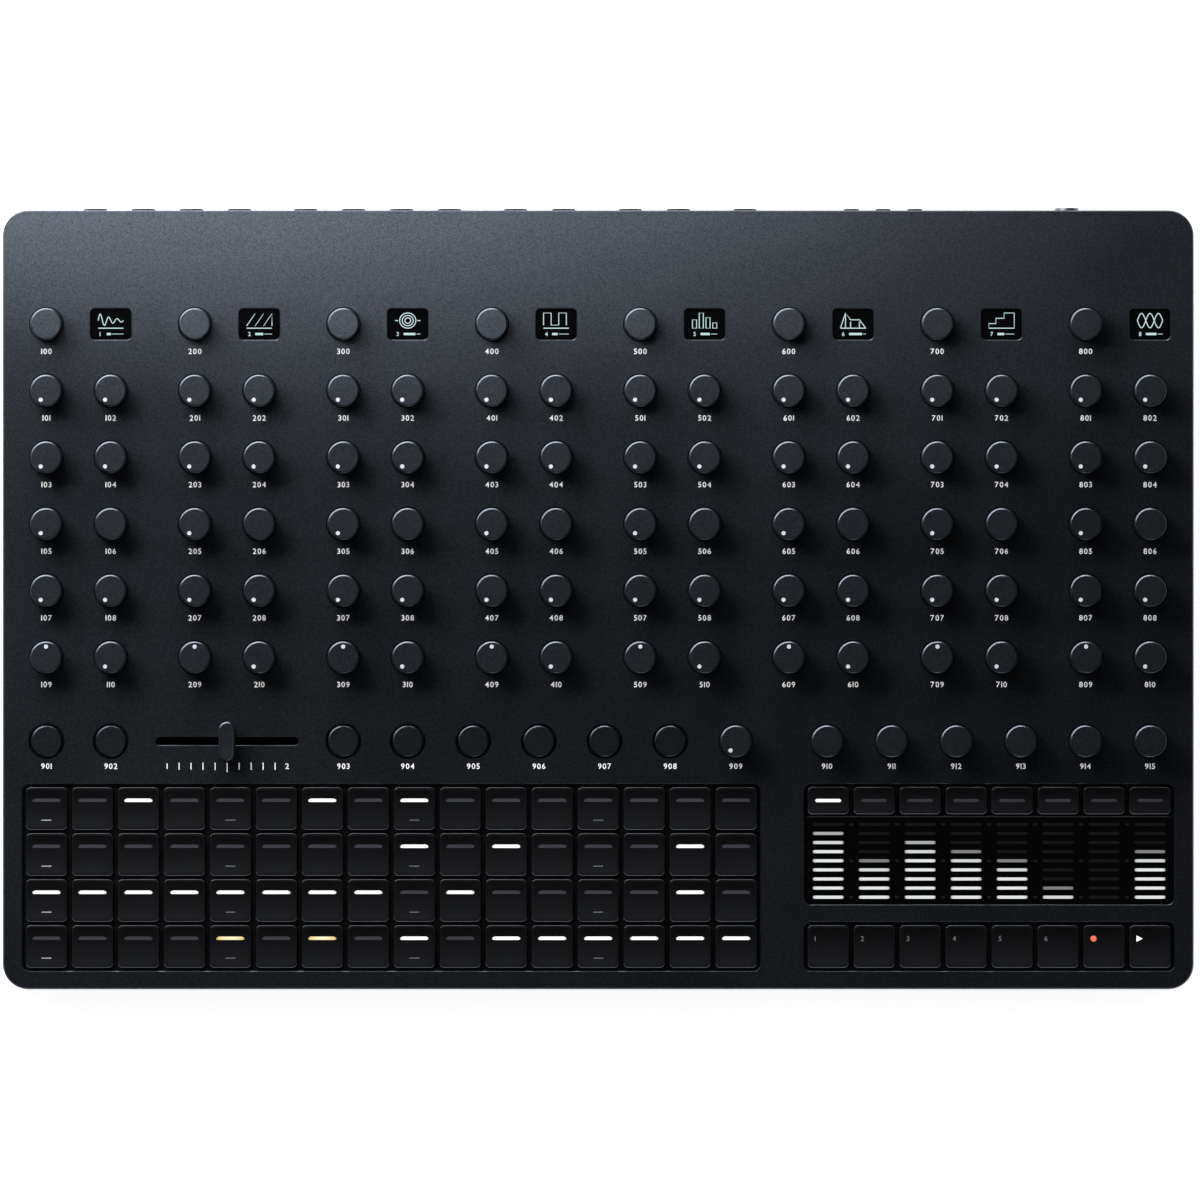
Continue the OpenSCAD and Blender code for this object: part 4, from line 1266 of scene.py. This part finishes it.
class Type:
    """Numerals as closed solids, made once from the built-in face and then laid out as arrays."""

    _made: "Type | None" = None
    gap: float = 0.22
    weight: float = 0.012

    def __init__(self) -> None:
        """Turns each numeral into arrays, one unit high, with its left edge at zero."""
        self.glyphs = {letter: self._glyph(letter) for letter in "0123456789"}

    @classmethod
    def get(cls) -> "Type":
        """The one set of numerals."""
        cls._made = cls._made or cls()
        return cls._made

    def _glyph(self, letter: str) -> Shape:
        """One numeral as a solid: the built-in face's outline, made a mesh with its seams welded.

        Args:
            letter: the numeral.

        Returns:
            The solid, one unit high and one thick, with its lower left corner at the origin.
        """
        curve = bpy.data.curves.new("numeral", "FONT")
        curve.body, curve.size, curve.extrude, curve.offset = letter, 1.0, 0.5, self.weight
        curve.resolution_u = 4
        holder = bpy.data.objects.new("numeral", curve)
        bpy.context.scene.collection.objects.link(holder)
        bpy.context.view_layer.update()
        made = bpy.data.meshes.new_from_object(holder.evaluated_get(bpy.context.evaluated_depsgraph_get()))
        made.calc_loop_triangles()
        points = np.zeros(len(made.vertices) * 3, np.float32)
        made.vertices.foreach_get("co", points)
        tris = np.zeros(len(made.loop_triangles) * 3, np.int32)
        made.loop_triangles.foreach_get("vertices", tris)
        bpy.data.objects.remove(holder)
        bpy.data.curves.remove(curve)
        bpy.data.meshes.remove(made)
        points, place = np.unique(points.reshape(-1, 3).round(5).astype(float), axis=0, return_inverse=True)
        tris = place.ravel()[tris].reshape(-1, 3)
        tris = tris[(tris != np.roll(tris, 1, axis=1)).all(axis=1)]
        low, high = points.min(0), points.max(0)
        points = (points - [low[0], low[1], 0]) / [high[1] - low[1], high[1] - low[1], 1]
        return Shape(points, np.zeros((0, 4), int), tris).outward()

    def number(
        self,
        text: str,
        x: float,
        y: float,
        height: float,
        top: float,
        thick: float = 0.04,
        left: bool = False,
    ) -> Shape:
        """A number laid out on a level surface.

        Args:
            text: its numerals.
            x: its middle, or its left edge.
            y: its middle.
            height: the numerals' height.
            top: the height of its upper side.
            thick: how thick the ink is.
            left: whether x is its left edge.

        Returns:
            The number as one shape.
        """
        widths = [self.glyphs[letter].points[:, 0].max() + self.gap for letter in text]
        starts = np.cumsum([0.0] + widths[:-1])
        whole = (sum(widths) - self.gap) * height
        shapes = []
        for letter, start in zip(text, starts):
            glyph = self.glyphs[letter]
            points = glyph.points * [height, height, thick] + [start * height, -height / 2, top - thick / 2]
            shapes.append(Shape(points, glyph.quads, glyph.tris))
        return joined(shapes).moved(x - (0 if left else whole / 2), y)


@dataclass
class Legends:
    """Numbers and ticks printed on the face plate."""

    plan: Plan
    cap_height: float = 2.2
    below: float = 10.75
    below_lower_row: float = 9.9
    ticks: int = 9
    tick_pitch: float = 4.74
    tick_size: tuple[float, float] = (0.36, 2.8)
    middle_tick: float = 1.0
    rise: float = 0.03
    thick: float = 0.04

    def build(self) -> None:
        """Makes the numbers under the knobs and buttons, and the crossfader's scale."""
        top = self.plan.face_z + self.rise
        lay = Type.get().number
        shapes = []
        for channel in range(self.plan.channels):
            for i, knob in enumerate(CHANNEL_KNOBS):
                x, y = self.plan.channel_knob(channel, knob)
                text = str((channel + 1) * 100 + i)
                shapes.append(lay(text, x, y - self.below, self.cap_height, top))
        y = self.plan.lower_row_y() - self.below_lower_row
        hinges = ["master_volume_turn"]
        hinges += [f"sequencer_knob_{i}_turn" for i in range(1, self.plan.sequencer_knobs + 1)]
        lower_row = [*RoundButtons(self.plan).places(), *(joint_place(name)[0] for name in hinges)]
        for i, x in enumerate(lower_row, 1):
            shapes.append(lay(str(900 + i), x, y, self.cap_height, top))
        x = middle("fader_lever")[0]
        for end, text in ((-1, "1"), (1, "2")):
            reach = (self.ticks + 1) / 2 * self.tick_pitch
            shapes.append(lay(text, x + end * reach, y, self.cap_height, top))
        xs = x + (np.arange(self.ticks) - (self.ticks - 1) / 2) * self.tick_pitch
        shapes.append(bars(*self.tick_size, top - self.thick, top).repeated(in_a_row(xs, y)))
        width, length = self.tick_size
        longer = bars(width, self.middle_tick, top - self.thick, top)
        shapes.append(longer.moved(x, y - (length + self.middle_tick) / 2))
        make_piece("printed_numbers", joined(shapes), Look.INK)


@dataclass
class RoundButtons:
    """The flush round buttons: a cut rim round a level top."""

    plan: Plan
    radius: float = 6.1
    collar: float = 1.6
    collar_under: tuple[float, float] = (1.05, 0.05)
    edge: float = 0.2
    rim: float = 0.35
    count: int = 8

    def places(self) -> np.ndarray:
        """The buttons' middles along X: two by the first channel, one by the third, then a run of five.

        Returns:
            The x of each button, from the left.
        """
        _, high = box_mm("round_buttons")
        edge = self.radius + self.collar
        first = [self.plan.channel_knob(0, k)[0] for k in (CHANNEL_KNOBS[1], CHANNEL_KNOBS[2])]
        third = self.plan.channel_knob(2, CHANNEL_KNOBS[1])[0]
        run = np.linspace(self.plan.channel_knob(2, CHANNEL_KNOBS[2])[0], high[0] - edge, self.count - 3)
        return np.array([*first, third, *run])

    def build(self) -> None:
        """Makes the buttons."""
        name = "round_buttons"
        low, high = box_mm(name)
        low_z, high_z = (box_mm("face_plate")[0][2] - under for under in self.collar_under)
        r, wide = self.radius, self.radius + self.collar
        profile = [(r, low[2]), (r, low_z), (wide, low_z), (wide, high_z), (r, high_z)]
        profile += cut_rim(r, high[2], self.edge, self.rim)
        buttons = revolved(profile).repeated(in_a_row(self.places(), self.plan.lower_row_y()))
        make_piece("round_button_caps", buttons, Look.BUTTON, name, [name])


@dataclass
class Crossfader:
    """The crossfader's cap: an upright stadium with a cut rim and a shallow dish for the finger."""

    width: float = 6.4
    depth: float = 15.3
    edge: float = 0.25
    rim: float = 0.42
    dish: float = 0.1

    def build(self) -> None:
        """Makes the cap. Its relief is minus the dish times one less the square of y over its half size."""
        low, high = box_mm("fader_cap")
        x, y, _ = middle("fader_cap")
        half = self.depth / 2 - self.edge - self.rim

        def relief(px: np.ndarray, py: np.ndarray) -> np.ndarray:
            """Height over the rim at a point."""
            along, across = 1 - (py / half) ** 2, 1 - (px / (self.width / 2)) ** 4
            return -self.dish * np.clip(along, 0, 1) * np.clip(across, 0, 1)

        outline = round_outline(self.width, self.depth, self.width / 2 - 0.01, 12)
        profile = [(0, low[2]), (0, low[2] + 0.2)]
        profile += [(1 - r, z) for r, z in cut_rim(1.0, high[2], self.edge, self.rim)]
        cap = carried_round(outline, profile, relief, 5).moved(x, y)
        make_piece("crossfader_cap", cap, Look.KNOB, "crossfader", ["fader_cap"])


@dataclass
class TouchStrip:
    """The touch strip: a polished panel with columns of light bars just under its surface."""

    plan: Plan
    rows: int = 9
    bar: tuple[float, float] = (12.4, 1.2)
    soft: float = 1.3
    levels: tuple[float, ...] = (7.75, 4.5, 6.75, 5.5, 4.5, 1.5, 0, 5.5)
    dash: tuple[float, float] = (1.6, 0.9)
    corner: float = 2.4
    bevel: float = 0.15
    lip: float = 0.4
    thick: float = 0.1
    rise: float = 0.02
    # Painted glow: the light colour of a bar that is off, a faint glow of its own.
    dark: Colour = srgb(3, 3, 4)
    full: Colour = srgb(228, 231, 233)
    dash_light: Colour = srgb(9, 9, 10)

    def bar_light(self, level: float, row: int) -> np.ndarray:
        """A bar's light: full well below the level, a little less in the first bar under it, and above it the
        faint painted glow of a bar that is off.

        The bar that the level stands in has the 1.7th power of the part of it that is reached.

        Args:
            level: how many of the column's bars are lit, from the bottom up.
            row: the bar's row, from 0 at the top.

        Returns:
            The light colour.
        """
        under = level - (self.rows - 1 - row)
        share = min(max(under, 0.0), 1.0) ** 1.7 * (0.85 if under < 2 else 1.0)
        return np.array(self.dark) * (1 - share) + np.array(self.full) * share

    def build(self) -> None:
        """Makes the panel, its rubber lip, its bars, and the dim dashes between the columns. The lip's grey
        also serves as a painted highlight line along the panel's upper edge.
        """
        low, high = box_mm("touch_panel")
        x, y, _ = middle("touch_panel")
        outline = round_outline(high[0] - low[0], high[1] - low[1], self.corner)
        profile = [(0, low[2]), (0, high[2] - self.bevel), (self.bevel, high[2])]
        panel = carried_round(outline, profile).moved(x, y)
        make_piece("touch_glass", panel, Look.TOUCH, CASE, ["touch_panel"])
        top = high[2] + self.rise
        # A rubber lip along the upper edge, whose grey also stands in as a painted highlight line on that
        # edge.
        lip = bars(high[0] - low[0] - 2 * self.corner, self.lip, high[2] - self.thick, top)
        make_piece("touch_lip_highlight_line", lip.moved(x, high[1] - self.lip / 2), Look.RUBBER)
        bar_low, bar_high = box_mm("touch_light_bars")
        half_l, half_w = self.bar[0] / 2, self.bar[1] / 2
        xs = np.linspace(bar_low[0] + half_l, bar_high[0] - half_l, self.plan.channels)
        ys = np.linspace(bar_high[1] - half_w, bar_low[1] + half_w, self.rows)
        bar, falloff = light_bar(*self.bar, top - self.thick, top, self.soft)
        offsets = np.array([[px, py, 0.0] for px in xs for py in ys])
        glows = np.array([self.bar_light(level, row) for level in self.levels for row in range(self.rows)])
        lit = bar.repeated(offsets, glows, falloff)
        make_piece("touch_bars", lit, Look.TOUCH_GLOW, CASE, ["touch_light_bars"])
        between = (xs[1:] + xs[:-1]) / 2
        dash = bars(*self.dash, top - self.thick, top - self.rise / 2)
        rows = (0, self.rows // 2, self.rows - 1)
        places = np.array([[px, ys[row], 0.0] for px in between for row in rows])
        dim = np.tile(np.array(self.dash_light), (len(places), 1))
        make_piece("touch_dashes", dash.repeated(places, dim), Look.TOUCH_GLOW)


@dataclass
class Displays:
    """The small displays: a black lens with a bevelled rim, a plain wave or level sign, and a number."""

    plan: Plan
    size: tuple[float, float] = (15.9, 12.2)
    corner: float = 1.7
    bevel: float = 0.12
    sign_size: tuple[float, float] = (10.0, 6.0)
    sign_y: float = 1.4
    caption_y: float = -3.9
    number_height: float = 1.6
    meter_start: float = -1.6
    meter: float = 0.9
    line: float = 0.36
    ink: float = 0.04
    rise: float = 0.02
    light: Colour = srgb(196, 222, 224)

    def sign(self, index: int) -> list[tuple[np.ndarray, bool]]:
        """The lines of one display's sign, in units of half its size, with its middle at the origin.

        Args:
            index: which display, from 0.

        Returns:
            Paths of x and y with whether each is closed.
        """
        t = np.linspace(0, 1, 49)
        across = 2 * t - 1
        base = (np.array([[-1.0, -1.0], [1.0, -1.0]]), False)
        if index == 0:
            return [(np.column_stack([across, np.sin(6 * np.pi * t) * np.exp(-1.8 * t)]), False), base]
        if index == 1:
            xs, ys = np.array([-3, -1, -1, 1, 1, 3, 3]) / 3, [-0.7, 0.9] * 3 + [-0.7]
            return [(np.column_stack([xs, ys]), False), base]
        if index == 2:
            turn = np.linspace(0, 2 * np.pi, 40, endpoint=False)
            circle = np.column_stack([0.64 * np.cos(turn), np.sin(turn)])
            ends = [(np.array([[side * 0.76, 0.0], [side, 0.0]]), False) for side in (-1, 1)]
            return [(r * circle, True) for r in (0.36, 0.68, 1.0)] + ends
        if index == 3:
            xs, ys = np.repeat([-1, -0.4, 0.2, 0.8], 2), [-0.6, 1, 1, -0.6] * 2
            return [(np.column_stack([xs, ys]), False), base]
        if index == 4:
            tops = (0.1, 1.0, 0.4, -0.3)
            sides = np.array([-0.16, -0.16, 0.16, 0.16])
            columns = zip(np.linspace(-0.8, 0.8, len(tops)), tops)
            return [(np.column_stack([x + sides, [-1, top, top, -1]]), True) for x, top in columns]
        if index == 5:
            corners = np.array([[-1, -1], [-0.6, 1], [-0.2, 0.1], [0.5, 0.1], [1, -1]])
            drops = [(np.array([[x, y - 0.25], [x, -1.0]]), False) for x, y in corners[1:-1]]
            return [(corners, False), base, *drops]
        if index == 6:
            xs, ys = np.repeat([-1, -0.45, 0.2, 1], 2), [-1, -0.4, -0.4, 0.3, 0.3, 1, 1, -1]
            return [(np.column_stack([xs, ys]), True)]
        waves = [np.column_stack([across, 0.95 * side * np.sin(3 * np.pi * t)]) for side in (-1, 1)]
        return [(wave, False) for wave in waves]

    def caption(self, index: int, top: float) -> list[Shape]:
        """The line under a sign: the display's number, and a level meter whose filled part is thick.

        Args:
            index: which display, from 0.
            top: the height of its upper side.

        Returns:
            The number and the meter's two parts, about the line's own middle.
        """
        start, end, under = self.meter_start, self.sign_size[0] / 2, top - self.ink
        level = start + (end - start) * (0.25 + 0.6 * ((index * 3) % 8) / 8)
        number = Type.get().number(str(index + 1), 0.6 - end, 0, self.number_height, top, left=True)
        filled = np.array([[start, 0.0], [level, 0.0]])
        rest = np.array([[level + self.meter / 2, 0.0], [end, 0.0]])
        return [number, strip(filled, self.meter, under, top), strip(rest, self.meter / 4, under, top)]

    def build(self) -> None:
        """Makes the lenses and the lit lines."""
        low, high = box_mm("screen_lenses")
        xs = np.linspace(low[0] + self.size[0] / 2, high[0] - self.size[0] / 2, self.plan.channels)
        y = (low[1] + high[1]) / 2
        outline = round_outline(*self.size, self.corner)
        lens = carried_round(outline, [(0, low[2]), (0, high[2] - self.bevel), (self.bevel, high[2])])
        lenses = lens.repeated(in_a_row(xs, y))
        make_piece("display_lenses", lenses, Look.SCREEN, CASE, ["screen_lenses"])
        top = high[2] + self.rise
        half = np.array(self.sign_size) / 2
        lines = []
        for i, x in enumerate(xs):
            for path, closed in self.sign(i):
                line = strip(path * half, self.line, top - self.ink, top, closed)
                lines.append(line.moved(x, y + self.sign_y))
            lines += [piece.moved(x, y + self.caption_y) for piece in self.caption(i, top)]
        made = joined(lines).lit(self.light)
        make_piece("display_lines", made, Look.SCREEN_GLOW)


@dataclass
class PowerButton:
    """The power button: a turned cap with a rolled edge and a shallow dish, which faces the rear."""

    stem: float = 2.0
    head: float = 4.05
    roll: float = 0.4
    dish: tuple[float, float] = (0.25, 0.35)

    def build(self) -> None:
        """Makes the cap: a profile of radius and height, turned round Z and then laid over to face +Y."""
        name = "power_button"
        low, high = box_mm(name)
        x, _, z = middle(name)
        radius, tip = (high[0] - low[0]) / 2, high[1]
        under, shoulder = tip - self.head, tip - self.roll
        profile = [(self.stem, low[1]), (self.stem, under), (radius, under), (radius, shoulder)]
        profile += arc((radius - self.roll, shoulder), self.roll, 20, 90, 4)
        edge_z, middle_z = (tip - drop for drop in self.dish)
        profile += [(radius - 0.9, tip), (radius - 1.2, edge_z), (radius * 0.4, middle_z)]
        button = revolved(profile).facing_rear().moved(x, 0, z)
        make_piece("power_button_cap", button, Look.BUTTON_METAL, name, [name])


class CadDress:
    """The finishes of the CAD nodes that stay as they are."""

    looks: dict[Look, tuple[str, ...]] = {
        Look.FACE: ("face_plate",),
        Look.CASE: ("side_frame",),
        Look.BASE: ("base_cover",),
        Look.REAR: ("rear_panel",),
        Look.RUBBER: ("rubber_feet",),
        Look.NYLON: ("pad_guides", "screen_modules", "phone_jacks", "mini_jacks", "power_switch"),
        Look.SILICONE: ("switch_mats",),
        Look.BOARD: ("pad_board", "knob_board", "main_board"),
        Look.BRASS: ("board_spacers",),
        Look.POT: ("potentiometers",),
        Look.RIBBON: ("ribbon_cables",),
        Look.STEEL: ("encoders", "usb_port"),
        Look.BLACK_STEEL: ("m3_screws", "fader_track", "fader_lever"),
    }

    def build(self) -> None:
        """Puts each finish in its nodes' material slots."""
        for look, names in self.looks.items():
            for name in names:
                mesh = frame["nodes"][name].data
                for i in range(len(mesh.materials)):
                    mesh.materials[i] = look.material()
                if not mesh.materials:
                    mesh.materials.append(look.material())


# ---------------------------------------------------------------------------------------------------------
# Studio
# ---------------------------------------------------------------------------------------------------------


@dataclass(frozen=True)
class Softbox:
    """An oval soft light with a grid, unseen by the camera: its place, aim, size, power and spread."""

    name: str
    place: tuple[float, float, float]
    aim: tuple[float, float, float]
    size: tuple[float, float]
    watts: float
    spread: float

    def build(self) -> None:
        """Adds the light. Its grid narrows the light's cone to the spread, in degrees."""
        data = bpy.data.lights.new(self.name, "AREA")
        data.shape, data.size, data.size_y = "ELLIPSE", *self.size
        data.spread = math.radians(self.spread)
        data.energy = self.watts
        lamp = bpy.data.objects.new(self.name, data)
        bpy.context.scene.collection.objects.link(lamp)
        back = (Vector(self.place) - Vector(self.aim)).normalized()
        side = Vector((0, 1, 0)).cross(back).normalized()
        lamp.location = self.place
        lamp.rotation_euler = Matrix((side, back.cross(side), back)).transposed().to_euler()
        lamp.visible_camera = False


@dataclass
class Studio:
    """Camera, lights, floor and world."""

    plan: Plan
    camera_height: float = 15.0
    sensor: float = 36.0
    frame_width: float = 0.47366
    aim_x: float = 0.00069
    aim_y: float = -0.0007
    floor_size: float = 30.0
    ambient: float = 0.6
    horizon: float = 0.07
    floor_glow: float = 0.66
    boxes: tuple[Softbox, ...] = (
        Softbox("key_softbox", (-0.640, 0.688, 0.582), (-0.321, 0.452, 0.0425), (0.862, 0.831), 5.1, 106.1),
        Softbox("rear_strip", (-0.178, 0.239, 0.292), (-0.060, 0.285, 0.0425), (0.621, 0.237), 0.415, 77.2),
        Softbox("rim_strip", (-0.400, 1.531, 0.479), (-0.160, 0.023, 0.0425), (2.100, 0.692), 13.5, 128.0),
        Softbox("front_strip", (0.140, -0.750, 0.230), (0.120, -0.120, 0.0425), (0.700, 0.100), 0.12, 90.0),
    )

    def camera(self) -> None:
        """A long lens straight above the face plate: its focal length is sensor times distance over width."""
        data = bpy.data.cameras.new("camera")
        data.sensor_width = self.sensor
        data.lens = self.sensor * self.camera_height / self.frame_width
        data.clip_end = 100
        camera = bpy.data.objects.new("camera", data)
        camera.location = (self.aim_x, self.aim_y, self.plan.face_z * MM + self.camera_height)
        bpy.context.scene.collection.objects.link(camera)
        bpy.context.scene.camera = camera

    def seen_rays(self, tree: bpy.types.NodeTree) -> bpy.types.NodeSocket:
        """One where a ray comes from the camera, a mirror or glass, and nought elsewhere.

        Args:
            tree: the material's or the world's node tree.

        Returns:
            The socket that holds it.
        """
        path = node(tree, "ShaderNodeLightPath")
        seen = maths(tree, "MAXIMUM", path.outputs["Is Camera Ray"], path.outputs["Is Glossy Ray"])
        return maths(tree, "MAXIMUM", seen, path.outputs["Is Transmission Ray"])

    def world(self) -> None:
        """White for the camera, a low white horizon for mirrors, and an even dim light for the rest."""
        world = bpy.data.worlds.new("studio")
        bpy.context.scene.world = world
        world.use_nodes = True
        tree = world.node_tree
        back = tree.nodes["Background"]
        place = node(tree, "ShaderNodeTexCoord")
        split = node(tree, "ShaderNodeSeparateXYZ")
        tree.links.new(place.outputs["Generated"], split.inputs["Vector"])
        limits = {"From Min": 0.0, "From Max": self.horizon, "To Min": 1.0, "To Max": 0.0}
        fall = node(tree, "ShaderNodeMapRange", limits)
        fall.interpolation_type = "SMOOTHSTEP"
        tree.links.new(split.outputs["Z"], fall.inputs["Value"])
        shown = node(tree, "ShaderNodeMix", data_type="FLOAT")
        shown.inputs["A"].default_value = self.ambient
        tree.links.new(self.seen_rays(tree), shown.inputs["Factor"])
        camera_ray = node(tree, "ShaderNodeLightPath").outputs["Is Camera Ray"]
        seen = maths(tree, "MAXIMUM", fall.outputs["Result"], camera_ray)
        tree.links.new(seen, shown.inputs["B"])
        tree.links.new(shown.outputs["Result"], back.inputs["Strength"])
        back.inputs["Color"].default_value = (1, 1, 1, 1)

    def floor(self) -> None:
        """A pale floor that keeps the object's shadow and shows as white: part lit, part its own light."""
        half = self.floor_size / 2
        mesh = bpy.data.meshes.new("floor")
        corners = [(-half, -half, 0), (half, -half, 0), (half, half, 0), (-half, half, 0)]
        mesh.from_pydata(corners, [], [(0, 1, 2, 3)])
        material, tree, shader = blank_material("floor_white")
        shader.inputs["Base Color"].default_value = (0.8, 0.8, 0.8, 1)
        shader.inputs["Roughness"].default_value = 0.9
        shader.inputs["Specular IOR Level"].default_value = 0.0
        shader.inputs["Emission Color"].default_value = (1, 1, 1, 1)
        glow = maths(tree, "MULTIPLY", self.seen_rays(tree), self.floor_glow)
        tree.links.new(glow, shader.inputs["Emission Strength"])
        mesh.materials.append(material)
        floor = bpy.data.objects.new("floor", mesh)
        bpy.context.scene.collection.objects.link(floor)
        floor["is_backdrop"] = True

    def build(self) -> None:
        """Sets up the whole studio."""
        bpy.context.scene.view_settings.view_transform = "Standard"
        self.camera()
        self.world()
        self.floor()
        for box in self.boxes:
            box.build()


def main() -> None:
    plan = Plan()
    Studio(plan).build()
    CadDress().build()
    assemblies = (Knobs(plan), Pads(plan), RoundButtons(plan), Crossfader(), TouchStrip(plan), Displays(plan))
    for assembly in (*assemblies, PowerButton(), Legends(plan)):
        assembly.build()
        log.info("%s built", type(assembly).__name__)
    boxes = {"cad": cad_bounds, "visual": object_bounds()}
    {key: [list(corner) for corner in box] for key, box in boxes.items()}


if __name__ == "__main__":
    main()
